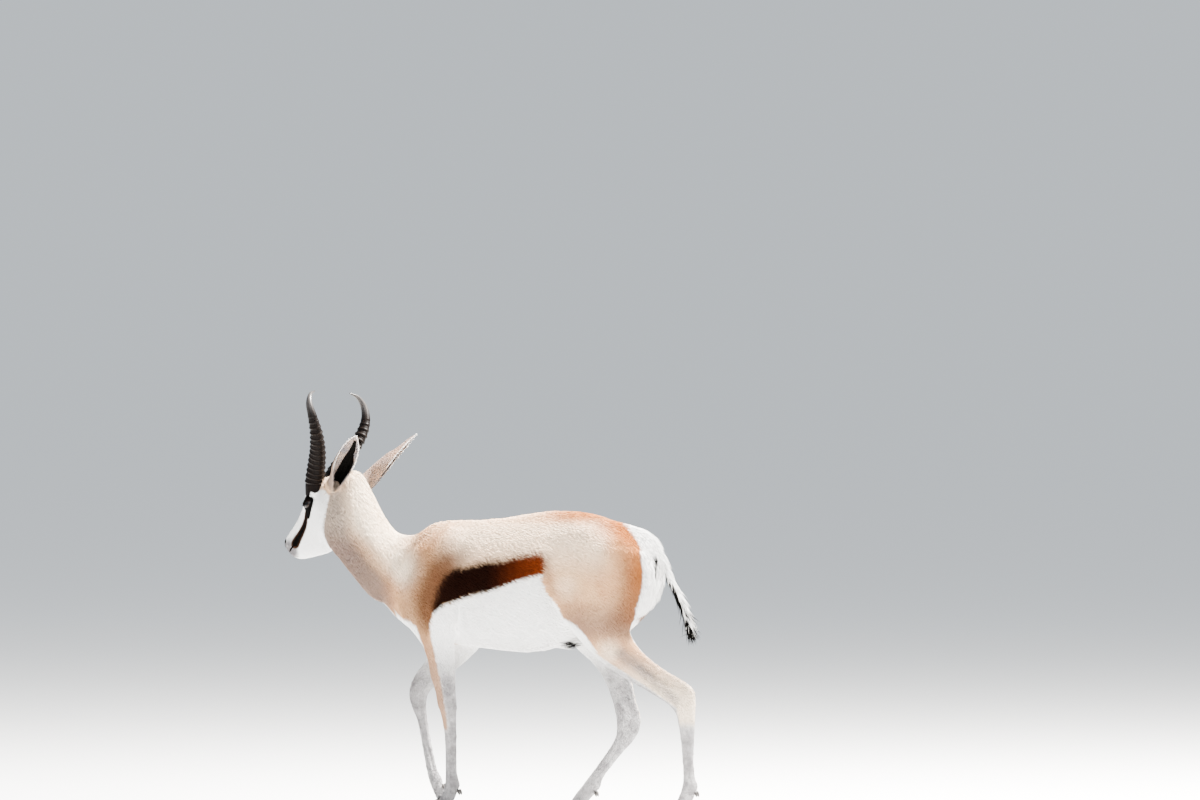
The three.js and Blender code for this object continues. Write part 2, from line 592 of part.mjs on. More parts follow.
// Pieces in the order in which they cut each other
const darkHorn = () => horn(0x2a231f, 0.42);
for (const [label, side] of [["left", 1], ["right", -1]]) {
  addPiece(`eye_${label}`, horn(0x14100d, 0.08), eyeball(side, EYE.radius).applyMatrix4(headFrame));
}
for (const [label, side] of [["left", 1], ["right", -1]]) {
  addPiece(`horn_${label}`, darkHorn(), hornGeometry(side));
}

const heading = (back, side, up) =>
  level.clone().multiplyScalar(back).addScaledVector(leftward, side).addScaledVector(upright, up);
for (const [label, ear] of Object.entries(EARS)) {
  const [along, opening] = [ear.along, ear.opening].map(([b, s, u]) => heading(b, ear.side * s, u));
  const root = onHead(ear.at[0], ear.side * ear.at[1], ear.at[2]);
  addPiece(`ear_${label}`, fur(0xbfb3a6), earGeometry(root, along, opening));
}

for (const [name, foot] of Object.entries(FEET)) addFoot(name, foot);

const legs = { fore_left: FORE_LEFT, fore_right: FORE_RIGHT, hind_left: HIND_LEFT, hind_right: HIND_RIGHT };
for (const [name, sections] of Object.entries(legs)) {
  addPiece(`leg_${name}`, fur(0xc99a6b), loft(sections, { sides: 12, perSpan: 1.5 }));
}

addPiece("tail", fur(0xe9e2d8), tailGeometry(), (body) =>
  tailLocks().reduce((sum, lock) => sum.add(lock), body));

// The head is shaped in its own frame, then turned into place
{
  const whole = toGeometry(headBody()).applyMatrix4(headFrame);
  let body = toSolid(whole);
  const cutter = grown(headGeometry().applyMatrix4(headFrame));
  for (const [name, other] of pieces) {
    if (!name.startsWith("eye") && touches(cutter, other.cutter)) body = body.subtract(toSolid(other.cutter));
  }
  pieces.set("head", { material: fur(0xf0ebe2), cutter, geometry: toGeometry(body) });
}

addPiece("neck", fur(0xd9b48c), loft(NECK, { sides: 16, perSpan: 1.5 }));
addPiece("torso", fur(0xcf9a66), loft(TRUNK, { sides: 22, perSpan: 1.25, swells: TRUNK_SWELLS }), (body) =>
  body.add(toSolid(sheathGeometry())));

// The animal, its box centred over the origin and its hooves on the floor
const springbok = new THREE.Group();
springbok.name = "springbok";
for (const [name, { material, geometry }] of pieces) {
  const mesh = new THREE.Mesh(geometry, material);
  mesh.name = name;
  springbok.add(mesh);
}
const box = new THREE.Box3().setFromObject(springbok, true);
const middle = box.getCenter(new THREE.Vector3());
springbok.position.set(-middle.x, -middle.y, -box.min.z);
springbok.updateMatrixWorld(true);

export default springbok;
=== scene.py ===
# A springbok ram on a slow walk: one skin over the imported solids, with its coat, eyes, horns and hooves
import math
import bmesh
import bpy
import numpy as np
from mathutils import Matrix, Vector
from mathutils.bvhtree import BVHTree


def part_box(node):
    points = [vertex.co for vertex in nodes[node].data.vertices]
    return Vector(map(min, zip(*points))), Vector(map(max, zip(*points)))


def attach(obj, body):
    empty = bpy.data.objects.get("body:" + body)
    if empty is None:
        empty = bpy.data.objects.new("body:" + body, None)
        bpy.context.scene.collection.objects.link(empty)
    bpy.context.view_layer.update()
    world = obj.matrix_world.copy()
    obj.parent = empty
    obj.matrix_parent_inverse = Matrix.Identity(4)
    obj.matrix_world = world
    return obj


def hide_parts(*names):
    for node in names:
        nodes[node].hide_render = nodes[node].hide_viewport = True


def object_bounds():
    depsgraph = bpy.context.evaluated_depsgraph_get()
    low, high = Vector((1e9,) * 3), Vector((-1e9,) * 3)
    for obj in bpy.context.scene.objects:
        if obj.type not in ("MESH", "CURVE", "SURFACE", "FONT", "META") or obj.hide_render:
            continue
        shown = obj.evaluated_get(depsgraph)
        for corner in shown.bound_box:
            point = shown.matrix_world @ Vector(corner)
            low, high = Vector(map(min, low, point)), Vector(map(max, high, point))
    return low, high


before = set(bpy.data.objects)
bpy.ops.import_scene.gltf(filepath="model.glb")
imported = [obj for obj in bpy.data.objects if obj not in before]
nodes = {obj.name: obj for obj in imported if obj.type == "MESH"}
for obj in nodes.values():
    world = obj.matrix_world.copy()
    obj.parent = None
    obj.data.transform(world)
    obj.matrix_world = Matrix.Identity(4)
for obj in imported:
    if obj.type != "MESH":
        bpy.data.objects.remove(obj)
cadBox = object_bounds()

# Places are in metres, either on the body (nose towards -x, the animal's left towards -y, floor at 0)
# or on the head (back from the nose, out to one side, up out of the forehead)
pose = {"nose": (-0.669, 0.093, 0.687), "yaw": 23, "pitch": 36, "roll": 5}
eye = {"back": 0.146, "side": 0.036, "up": 0.023, "radius": 0.0165, "pupil": (0.46, 0.24)}
sides = {"left": 1, "right": -1}


def headAxes():
    # the head's directions back, out to the animal's left and up
    yaw, pitch, roll = (math.radians(pose[name]) for name in ("yaw", "pitch", "roll"))
    level = Vector((math.cos(yaw), -math.sin(yaw), 0))
    side = Vector((-math.sin(yaw), -math.cos(yaw), 0))
    back = level * math.cos(pitch) + Vector((0, 0, math.sin(pitch)))
    up = level * -math.sin(pitch) + Vector((0, 0, math.cos(pitch)))
    turn = Matrix.Rotation(-roll, 3, back)
    return np.array([back, turn @ side, turn @ up]).T


headTurn = headAxes()
eyeMiddle = np.mean([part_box("eye_left"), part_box("eye_right")], axis=(0, 1))
noseTip = eyeMiddle - headTurn @ np.array([eye["back"], 0, eye["up"]])
bodyOrigin = noseTip - np.array(pose["nose"])
bodyOrigin[2] = 0


def onBody(*place):
    return np.array(place, float) + bodyOrigin


def onHead(back, side, up):
    return noseTip + headTurn @ np.array([back, side, up])


def toBody(points):
    return points - bodyOrigin


def toHead(points):
    return (points - noseTip) @ headTurn


def mirrored(points):
    # the right half laid onto the left one
    return np.column_stack([points[:, 0], np.abs(points[:, 1]), points[:, 2]])


def softStep(values, low, high):
    # a smooth ramp from 0 at low to 1 at high, also where low is the greater
    t = np.clip((values - low) / (high - low), 0, 1)
    return t * t * (3 - 2 * t)


def curveThrough(points, count):
    # evenly spaced points on a smooth curve through the given ones
    points = np.array(points, float)
    padded = np.vstack([2 * points[0] - points[1], points, 2 * points[-1] - points[-2]])
    knots = np.concatenate([[0], np.cumsum(np.linalg.norm(np.diff(padded, axis=0), axis=1) ** 0.5)])
    fine = []
    for i in range(len(points) - 1):
        a, b, c, d = padded[i : i + 4]
        ta, tb, tc, td = knots[i : i + 4]
        t = np.linspace(tb, tc, 25)[:-1, None]
        ab = (a * (tb - t) + b * (t - ta)) / (tb - ta)
        bc = (b * (tc - t) + c * (t - tb)) / (tc - tb)
        cd = (c * (td - t) + d * (t - tc)) / (td - tc)
        abc = (ab * (tc - t) + bc * (t - ta)) / (tc - ta)
        bcd = (bc * (td - t) + cd * (t - tb)) / (td - tb)
        fine.append((abc * (tc - t) + bcd * (t - tb)) / (tc - tb))
    fine = np.vstack(fine + [points[-1:]])
    run = np.concatenate([[0], np.cumsum(np.linalg.norm(np.diff(fine, axis=0), axis=1))])
    at = np.linspace(0, run[-1], count)
    return np.stack([np.interp(at, run, fine[:, k]) for k in range(points.shape[1])], axis=1)


def strokeDistance(points, line):
    # distance to a line of any dimension, and how far along it the nearest place is
    line = np.array(line, float)
    best = np.full(len(points), np.inf)
    along = np.zeros(len(points))
    for i in range(len(line) - 1):
        step = line[i + 1] - line[i]
        t = np.clip((points - line[i]) @ step / (step @ step), 0, 1)
        gap = np.linalg.norm(points - (line[i] + t[:, None] * step), axis=1)
        nearer = gap < best
        best[nearer] = gap[nearer]
        along[nearer] = (i + t[nearer]) / (len(line) - 1)
    return best, along


def areaDistance(points, outline):
    # distance to a closed outline in a plane, above 0 inside it
    outline = np.array(outline, float)
    gap, _ = strokeDistance(points, np.vstack([outline, outline[:1]]))
    inside = np.zeros(len(points), bool)
    for a, b in zip(outline, np.roll(outline, -1, axis=0)):
        spans = (a[1] > points[:, 1]) != (b[1] > points[:, 1])
        drop = b[1] - a[1] if b[1] != a[1] else 1e-9
        inside ^= spans & (points[:, 0] < a[0] + (points[:, 1] - a[1]) / drop * (b[0] - a[0]))
    return np.where(inside, gap, -gap)


def places(mesh):
    out = np.empty(len(mesh.vertices) * 3, np.float32)
    mesh.vertices.foreach_get("co", out)
    return out.reshape(-1, 3).astype(float)


def normals(mesh):
    out = np.empty(len(mesh.vertices) * 3, np.float32)
    mesh.vertex_normals.foreach_get("vector", out)
    return out.reshape(-1, 3).astype(float)


def moveTo(mesh, points):
    mesh.vertices.foreach_set("co", points.astype(np.float32).ravel())
    mesh.update()


def edgePairs(mesh):
    out = np.empty(len(mesh.edges) * 2, np.int32)
    mesh.edges.foreach_get("vertices", out)
    return out.reshape(-1, 2)


def relaxed(values, edges, strength, rounds):
    # each row moves towards the mean of its neighbours by its own strength
    count = len(values)
    degree = np.maximum(np.bincount(edges.ravel(), minlength=count), 1)[:, None]
    ends = np.concatenate([edges[:, 0], edges[:, 1]])
    others = np.concatenate([edges[:, 1], edges[:, 0]])
    strength = np.broadcast_to(np.asarray(strength, float).reshape(-1, 1), (count, 1))
    for _ in range(rounds):
        near = np.stack([np.bincount(ends, values[others, k], count) for k in range(values.shape[1])], 1)
        values = values + strength * (near / degree - values)
    return values


def asPiece(name, bm, smooth=True):
    mesh = bpy.data.meshes.new(name)
    bm.to_mesh(mesh)
    bm.free()
    if smooth:
        mesh.shade_smooth()
    made = bpy.data.objects.new(name, mesh)
    bpy.context.scene.collection.objects.link(made)
    return made


def applied(made):
    # the piece's mesh with its modifiers in it
    graph = bpy.context.evaluated_depsgraph_get()
    mesh = bpy.data.meshes.new_from_object(made.evaluated_get(graph))
    made.modifiers.clear()
    old = made.data
    made.data = mesh
    bpy.data.meshes.remove(old)
    return made


def addTube(bm, line, radii, sides, reference):
    # a closed tube: a ring at the line's first point, extruded from point to point without twisting
    line = np.array(line)
    across = Vector(reference)
    mats = []
    for point, tangent, (wide, deep) in zip(line, np.gradient(line, axis=0), radii):
        forward = Vector(tangent).normalized()
        across = (across - across.dot(forward) * forward).normalized()
        turn = Matrix((across * wide, forward.cross(across) * deep, forward * max(wide, deep)))
        mats.append(Matrix.Translation(Vector(point)) @ turn.transposed().to_4x4())
    made = bmesh.ops.create_circle(bm, cap_ends=True, segments=sides, radius=1, matrix=mats[0])["verts"]
    bmesh.ops.reverse_faces(bm, faces=made[0].link_faces[:])
    ring = list(dict.fromkeys(e for v in made for e in v.link_edges))
    rings = [made]
    for before, after in zip(mats, mats[1:]):
        grown = bmesh.ops.extrude_edge_only(bm, edges=ring)["geom"]
        fresh = [v for v in grown if isinstance(v, bmesh.types.BMVert)]
        bmesh.ops.transform(bm, matrix=after @ before.inverted(), verts=fresh)
        ring = [e for e in grown if isinstance(e, bmesh.types.BMEdge) and len(e.link_faces) == 1]
        rings.append(fresh)
    bmesh.ops.contextual_create(bm, geom=ring)
    return rings


# Legs: stations down the middle of each, as place, half its depth and half its width
legStations = {
    "leg_fore_left": [
        ((-0.248, -0.066, 0.590), 0.078, 0.035), ((-0.231, -0.069, 0.468), 0.050, 0.030),
        ((-0.2115, -0.067, 0.363), 0.0335, 0.022), ((-0.201, -0.064, 0.298), 0.026, 0.020),
        ((-0.193, -0.062, 0.212), 0.017, 0.0125), ((-0.192, -0.059, 0.113), 0.016, 0.013),
        ((-0.191, -0.058, 0.083), 0.020, 0.0165), ((-0.2145, -0.058, 0.025), 0.020, 0.014),
    ],
    "leg_fore_right": [
        ((-0.250, 0.066, 0.590), 0.078, 0.035), ((-0.215, 0.069, 0.456), 0.065, 0.030),
        ((-0.260, 0.068, 0.379), 0.036, 0.022), ((-0.313, 0.066, 0.312), 0.024, 0.020),
        ((-0.294, 0.063, 0.202), 0.014, 0.012), ((-0.277, 0.061, 0.123), 0.015, 0.0125),
        ((-0.266, 0.060, 0.093), 0.0175, 0.016), ((-0.241, 0.060, 0.038), 0.019, 0.0135),
    ],
    "leg_hind_left": [
        ((0.228, -0.050, 0.700), 0.086, 0.032), ((0.206, -0.061, 0.545), 0.118, 0.039),
        ((0.237, -0.069, 0.444), 0.058, 0.033), ((0.332, -0.069, 0.368), 0.037, 0.021),
        ((0.428, -0.064, 0.302), 0.038, 0.019), ((0.432, -0.062, 0.218), 0.020, 0.014),
        ((0.435, -0.062, 0.116), 0.0155, 0.013), ((0.437, -0.062, 0.086), 0.020, 0.0165),
        ((0.412, -0.062, 0.025), 0.020, 0.014),
    ],
    "leg_hind_right": [
        ((0.220, 0.050, 0.700), 0.086, 0.032), ((0.184, 0.062, 0.545), 0.130, 0.039),
        ((0.172, 0.067, 0.440), 0.060, 0.032), ((0.217, 0.067, 0.345), 0.034, 0.0205),
        ((0.243, 0.066, 0.249), 0.034, 0.019), ((0.213, 0.066, 0.177), 0.018, 0.014),
        ((0.163, 0.066, 0.111), 0.016, 0.013), ((0.149, 0.066, 0.086), 0.020, 0.0165),
        ((0.103, 0.066, 0.027), 0.021, 0.014),
    ],
}
tailLine = [
    (0.318, 0, 0.706), (0.346, 0, 0.666), (0.370, 0, 0.612),
    (0.398, 0, 0.556), (0.415, 0, 0.508), (0.423, 0, 0.474),
]
tailSizes = {"rows": 24, "sides": 14, "flat": 0.8, "at": (0, 1, 1.3), "radius": (0.014, 0.0065, 0.0055)}
earSizes = {
    1: {"root": (0.240, 0.041, 0.020), "along": (0.658, 0.333, 0.676), "opening": (0.504, 0.472, -0.723)},
    -1: {"root": (0.262, 0.038, 0.008), "along": (0.538, 0.518, 0.666), "opening": (0.70, 0.36, -0.61)},
    "stump": 0.004,
}
# The head's turn about the upright alone: an ear's directions are given back, out and up from it
yaw = math.radians(pose["yaw"])
levelTurn = np.array([
    (math.cos(yaw), -math.sin(yaw), 0), (-math.sin(yaw), -math.cos(yaw), 0), (0, 0, 1),
]).T


def earAlong(side, name="along"):
    back, out, up = earSizes[side][name]
    along = levelTurn @ np.array([back, side * out, up])
    return along / np.linalg.norm(along)


def earRoot(side):
    back, out, up = earSizes[side]["root"]
    return onHead(back, side * out, up)


# Horns: the line up the left one, on the head, and the sizes of its rings
hornSizes = {
    "line": [
        (0.165, 0.026, 0.039), (0.184, 0.030, 0.065), (0.221, 0.043, 0.090), (0.261, 0.063, 0.112),
        (0.296, 0.086, 0.138), (0.320, 0.103, 0.173), (0.331, 0.106, 0.206), (0.337, 0.092, 0.230),
        (0.337, 0.067, 0.242),
    ],
    "base": 0.0258, "tip": 0.0012, "oval": 0.84, "ringed": 0.74, "ridge": 0.0021,
    # place and width of a ring's crest in each turn, then place, width and depth of the dip between rings
    "crest": (0.36, 0.17), "dip": (0.02, 0.14, 0.45),
    "pitch": 65 / 3, "steps": 260, "sides": 36, "stump": 0.030,
}


def hornLine(side, count):
    return np.array([onHead(b, side * s, u) for b, s, u in curveThrough(hornSizes["line"], count)])


def hornRadius(t):
    return hornSizes["tip"] + (hornSizes["base"] - hornSizes["tip"]) * (1 - t**1.5) ** 0.85


# Skin
flesh = ["head", "neck", "torso", *legStations]
regions = [*flesh, "tail", "ear_left", "ear_right"]
skinSizes = {
    "voxel": 0.0053, "swell": 0.0005,
    "depth": {"head": 0.0012, "neck": 0.004, "torso": 0.004, "leg": 0.0016, "tail": 0.0015, "ear": 0.0004},
    "soften": {"head": 5, "neck": 30, "torso": 44, "leg": 7, "tail": 4, "ear": 4},
}


def solidCopy(name, swell=0.0):
    # a solid's loose triangles joined up, and blown up a little
    part = bmesh.new()
    part.from_mesh(nodes[name].data)
    bmesh.ops.remove_doubles(part, verts=part.verts, dist=0.00001)
    part.normal_update()
    for v in part.verts:
        v.co += v.normal * swell
    return part


def take(bm, part):
    # moves all of part into bm
    mesh = bpy.data.meshes.new("part")
    part.to_mesh(mesh)
    part.free()
    bm.from_mesh(mesh)
    bpy.data.meshes.remove(mesh)


def cutOff(part, point, direction):
    # keeps what lies behind the plane and closes the cut
    geom = part.verts[:] + part.edges[:] + part.faces[:]
    bmesh.ops.bisect_plane(
        part, geom=geom, plane_co=Vector(point), plane_no=Vector(direction), clear_outer=True
    )
    bmesh.ops.holes_fill(part, edges=[e for e in part.edges if e.is_boundary])


def fusedBody():
    # one closed skin round the flesh, the eyes, the roots of the ears and horns, and the tail's core
    bm = bmesh.new()
    for name in [*flesh, "eye_left", "eye_right"]:
        take(bm, solidCopy(name, skinSizes["swell"]))
    for label, side in sides.items():
        stump = solidCopy(f"ear_{label}", skinSizes["swell"])
        cutOff(stump, earRoot(side) + earAlong(side) * earSizes["stump"], earAlong(side))
        take(bm, stump)
        pedicle = solidCopy(f"horn_{label}")
        line = hornLine(side, 60)
        run = np.cumsum(np.linalg.norm(np.diff(line, axis=0), axis=1))
        at = int(np.searchsorted(run, hornSizes["stump"] * 0.5))
        cutOff(pedicle, line[at], line[at + 1] - line[at])
        take(bm, pedicle)
    rows = tailSizes["rows"]
    line = curveThrough([onBody(*p) for p in tailLine], rows)
    radii = np.interp(np.linspace(0, tailSizes["at"][-1], rows), tailSizes["at"], tailSizes["radius"])
    addTube(bm, line, [(r, tailSizes["flat"] * r) for r in radii], tailSizes["sides"], (0, 1, 0))
    bmesh.ops.recalc_face_normals(bm, faces=bm.faces)
    made = asPiece("skin", bm)
    fuse = made.modifiers.new("fuse", "REMESH")
    fuse.mode = "VOXEL"
    fuse.voxel_size = skinSizes["voxel"]
    applied(made)
    return made


def kindOf(region):
    # the key of a region in the tables of sizes
    return "leg" if region.startswith("leg") else "ear" if region.startswith("ear") else region


def nodeTree(names):
    # the solids' faces in one search tree, and which solid each face is of
    bm = bmesh.new()
    owner = []
    for index, name in enumerate(names):
        bm.from_mesh(nodes[name].data)
        owner += [index] * (len(bm.faces) - len(owner))
    tree = BVHTree.FromBMesh(bm)
    bm.free()
    return tree, owner


regionTree, regionOwner = nodeTree(regions)


def regionWeights(mesh):
    # how much of each skin vertex belongs to each region, blended over the joins
    weights = np.zeros((len(mesh.vertices), len(regions)))
    for i, v in enumerate(mesh.vertices):
        weights[i, regionOwner[regionTree.find_nearest(v.co)[2]]] = 1
    return relaxed(weights, edgePairs(mesh), 0.6, 14)


def byKind(weights, table):
    # a size at each point, from a table with one for each kind of region
    return weights @ np.array([table[kindOf(name)] for name in regions])


def softened(values, edges, rounds):
    # smoothed by its own number of rounds at each point, without losing the larger form
    def passes(values):
        for step in range(int(np.ceil(rounds.max()))):
            values = relaxed(values, edges, 0.5 * np.clip(rounds - step, 0, 1), 1)
        return values

    flat = passes(values)
    return flat + passes(values - flat)


def refine(made, inside):
    # halves the edges whose ends both lie inside
    bm = bmesh.new()
    bm.from_mesh(made.data)
    chosen = [e for e in bm.edges if inside[e.verts[0].index] and inside[e.verts[1].index]]
    bmesh.ops.subdivide_edges(bm, edges=chosen, cuts=1, use_grid_fill=True)
    bm.to_mesh(made.data)
    bm.free()


# Face: outlines on the head, seen from its side
face = {
    "front": (-0.0155, -0.002), "rear": (0.0155, 0.001), "bow": 0.019, "rim": 0.0015,
    "reach": 0.030, "tuck": 0.0006, "sunkRim": 0.96,
    # how far finer faces reach on the head, and round the eyes, the mouth and the nose
    "fineBack": 0.262, "fineOut": 0.075, "fineUp": 0.14, "smoothOut": 0.09, "smoothRounds": 3.0,
    "fineEye": 0.029, "fineMouth": 0.010, "fineNose": 0.026, "mouthBack": 0.07, "eyeBack": 0.19,
    "eyeOut": 0.012,
    "mouth": [(-0.006, -0.029), (0.010, -0.029), (0.026, -0.0265), (0.040, -0.022), (0.052, -0.0165)],
    "nostril": [
        (0.0015, 0.0085, -0.0085), (0.0005, 0.0125, -0.0045), (0.0035, 0.0155, 0.0015),
        (0.010, 0.0175, 0.004),
    ],
    "duct": [(0.1305, 0.0205), (0.1225, 0.0150), (0.116, 0.010)],
    # depth and width of each fold
    "mouthCut": (0.0030, 0.0013), "upperLip": (0.0012, 0.0030), "lowerLip": (0.0009, 0.0028),
    "nostrilCut": (0.0062, 0.0021), "nostrilRim": (0.0012, 0.0018), "lipSplit": (0.0012, 0.0011),
    "lidFold": (0.0011, 0.0013), "underLid": (0.0006, 0.0014), "brow": (0.0012, 0.0034),
    "tearDuct": (0.0016, 0.0022),
    # how far from the lids' edge the fold, the line under the eye and the brow run
    "lidFoldAt": 0.0046, "underLidAt": 0.0052, "browAt": 0.0100,
    # cheek, jaw, temple, cheekbone, side of the nose and others: place, reach and height
    "swells": [
        ((0.168, 0.044, -0.050), 0.030, 0.0030), ((0.118, 0.034, -0.062), 0.020, -0.0018),
        ((0.196, 0.036, 0.034), 0.019, -0.0026), ((0.170, 0.046, -0.004), 0.016, 0.0016),
        ((0.104, 0.026, 0.000), 0.019, -0.0022), ((0.070, 0.022, -0.030), 0.018, 0.0012),
        ((0.128, 0.000, 0.056), 0.017, -0.0014), ((0.020, 0.016, -0.020), 0.010, 0.0016),
        ((0.212, 0.042, -0.052), 0.017, -0.0022), ((0.012, 0.012, -0.044), 0.010, 0.0012),
    ],
}


def bezier(a, b, c, count):
    t = np.linspace(0, 1, count)[:, None]
    a, b, c = (np.array(p, float) for p in (a, b, c))
    return (1 - t) ** 2 * a + 2 * t * (1 - t) * b + t**2 * c


def eyeOpening():
    # the almond between the lids, round the middle of the eye
    upper = bezier(face["front"], (0, face["bow"]), face["rear"], 24)
    lower = bezier(face["rear"], (0, -face["bow"]), face["front"], 24)
    return np.vstack([upper[:-1], lower[:-1]])


def fineHead(made):
    # smaller faces on the head, and smaller again round the eyes, the mouth and the nose
    def onFront(here, out):
        level = np.abs(here[:, 2]) < face["fineUp"]
        return (here[:, 0] < face["fineBack"]) & (np.abs(here[:, 1]) < out) & level

    refine(made, onFront(toHead(places(made.data)), face["fineOut"]))
    here = toHead(places(made.data))
    middle = (eye["back"], eye["side"] + face["eyeOut"], eye["up"])
    nearEye = np.linalg.norm(mirrored(here) - middle, axis=1) < face["fineEye"]
    nearMouth = strokeDistance(here[:, [0, 2]], face["mouth"])[0] < face["fineMouth"]
    nearMouth &= here[:, 0] < face["mouthBack"]
    nearNose = here[:, 0] < face["fineNose"]
    refine(made, (nearEye | nearMouth | nearNose) & (here[:, 0] < face["eyeBack"]))
    points = places(made.data)
    rounds = np.where(onFront(toHead(points), face["smoothOut"]), face["smoothRounds"], 0)
    moveTo(made.data, softened(points, edgePairs(made.data), rounds))


def openEyes(made):
    # cuts the almond between the lids and turns its rim in against the eyeball
    outline = eyeOpening()
    bm = bmesh.new()
    bm.from_mesh(made.data)
    for side in sides.values():
        middle = np.array([eye["back"], side * eye["side"], eye["up"]])
        lid = eye["radius"] + face["rim"]

        def local(v):
            return toHead(np.array(v)) - middle

        near = [f for f in bm.faces if np.linalg.norm(local(f.calc_center_median())) < face["reach"]]
        spots = np.array([local(f.calc_center_median()) for f in near])
        inner = (areaDistance(spots[:, [0, 2]], outline) > 0) & (spots[:, 1] * side > 0.004)
        bmesh.ops.delete(bm, geom=[f for f, gone in zip(near, inner) if gone], context="FACES")
        bounds = [e for e in bm.edges if e.is_boundary]
        rim = [e for e in bounds if np.linalg.norm(local(e.verts[0].co)) < face["reach"]]
        rimVerts = list(dict.fromkeys(v for e in rim for v in e.verts))

        def onLid(back, up, radius):
            out = math.sqrt(max(radius**2 - back**2 - up**2, 0.004**2))
            return onHead(*(middle + (back, side * out, up)))

        closed = np.vstack([outline, outline[:1]])
        for v in rimVerts:
            here = local(v.co)[[0, 2]]
            _, along = strokeDistance(here[None], closed)
            step = along[0] * (len(closed) - 1)
            low = min(int(step), len(closed) - 2)
            back, up = closed[low] + (step - low) * (closed[low + 1] - closed[low])
            v.co = Vector(onLid(back, up, lid))
        around = {v for w in rimVerts for e in w.link_edges for v in e.verts} - set(rimVerts)
        wider = {v for w in around for e in w.link_edges for v in e.verts} - set(rimVerts)
        for _ in range(4):
            bmesh.ops.smooth_vert(
                bm, verts=list(around | wider), factor=0.5, use_axis_x=True, use_axis_y=True, use_axis_z=True
            )
        grown = bmesh.ops.extrude_edge_only(bm, edges=rim)["geom"]
        for v in (g for g in grown if isinstance(g, bmesh.types.BMVert)):
            here = local(v.co) * face["sunkRim"]
            v.co = Vector(onLid(here[0], here[2], eye["radius"] - face["tuck"]))
    bmesh.ops.recalc_face_normals(bm, faces=bm.faces)
    bm.to_mesh(made.data)
    bm.free()


def groove(distance, depth, width):
    return -depth * np.exp(-((distance / width) ** 2))


def faceLift(here):
    # how far the folds of the face rise or sink along the skin's normal
    aside = mirrored(here)
    view = aside[:, [0, 2]]
    mouth = np.array(face["mouth"])
    nostril, _ = strokeDistance(aside, face["nostril"])
    split = (here[:, 0] < 0.016) & (here[:, 2] < -0.004) & (here[:, 2] > -0.030)
    lift = groove(strokeDistance(view, mouth)[0], *face["mouthCut"])
    lift -= groove(strokeDistance(view, mouth + (0, 0.0045))[0], *face["upperLip"])
    lift -= groove(strokeDistance(view, mouth[:4] - (0, 0.0042))[0], *face["lowerLip"])
    lift += groove(nostril, *face["nostrilCut"])
    lift -= groove(nostril - 0.0045, *face["nostrilRim"]) * (aside[:, 1] > 0.011)
    lift += groove(here[:, 1], *face["lipSplit"]) * split
    around = view - (eye["back"], eye["up"])
    onEye = softStep(aside[:, 1], 0.030, 0.042)
    gap = -areaDistance(around, eyeOpening())
    above = softStep(around[:, 1], -0.004, 0.004)
    lift += groove(gap - face["lidFoldAt"], *face["lidFold"]) * onEye * above
    lift += groove(gap - face["underLidAt"], *face["underLid"]) * onEye * (1 - above)
    lift -= groove(gap - face["browAt"], *face["brow"]) * onEye * above
    lift += groove(strokeDistance(view, face["duct"])[0], *face["tearDuct"]) * onEye
    for at, reach, height in face["swells"]:
        lift += height * np.exp(-((np.linalg.norm(aside - at, axis=1) / reach) ** 2))
    return lift


# Body: lines of bone, muscle and fold as seen from the side, with their height and width
bodyLines = {
    "shoulderBlade": ([(-0.205, 0.735), (-0.262, 0.655), (-0.300, 0.585)], 0.0030, 0.016),
    "bladeHind": ([(-0.168, 0.715), (-0.180, 0.640), (-0.190, 0.570)], -0.0030, 0.014),
    "upperArm": ([(-0.295, 0.575), (-0.235, 0.530), (-0.195, 0.505)], 0.0040, 0.020),
    "elbowFold": ([(-0.168, 0.545), (-0.172, 0.500), (-0.182, 0.462)], -0.0055, 0.009),
    "brisketFold": ([(-0.318, 0.545), (-0.285, 0.500), (-0.262, 0.455)], -0.0030, 0.010),
    "neckFold": ([(-0.268, 0.722), (-0.300, 0.690), (-0.318, 0.640), (-0.322, 0.585)], -0.0034, 0.009),
    "neckFoldTwo": ([(-0.300, 0.728), (-0.334, 0.690), (-0.352, 0.640), (-0.352, 0.590)], -0.0026, 0.010),
    "neckMuscle": ([(-0.470, 0.800), (-0.420, 0.730), (-0.375, 0.650), (-0.360, 0.590)], 0.0030, 0.018),
    "throatLine": ([(-0.500, 0.745), (-0.455, 0.680), (-0.410, 0.610), (-0.380, 0.560)], -0.0026, 0.013),
    "flankFold": ([(0.062, 0.585), (0.088, 0.540), (0.110, 0.495), (0.140, 0.455)], -0.0048, 0.011),
    "stifle": ([(0.108, 0.560), (0.120, 0.515), (0.150, 0.478)], 0.0042, 0.018),
    "hollowFlank": ([(0.075, 0.705), (0.095, 0.665), (0.100, 0.620)], -0.0050, 0.030),
    "hipBone": ([(0.135, 0.745), (0.165, 0.738), (0.190, 0.728)], 0.0035, 0.016),
    "thighFront": ([(0.160, 0.705), (0.150, 0.640), (0.158, 0.570), (0.185, 0.500)], 0.0028, 0.026),
    "thighSplit": ([(0.255, 0.700), (0.262, 0.630), (0.255, 0.560), (0.262, 0.490)], -0.0026, 0.014),
    "seatBone": ([(0.318, 0.672), (0.334, 0.640), (0.322, 0.600)], 0.0024, 0.016),
}
ribs = {
    "count": 8, "first": -0.130, "last": 0.040, "lean": 0.060, "top": 0.715, "middle": 0.62, "low": 0.500,
    "height": 0.0011, "width": 0.008,
}


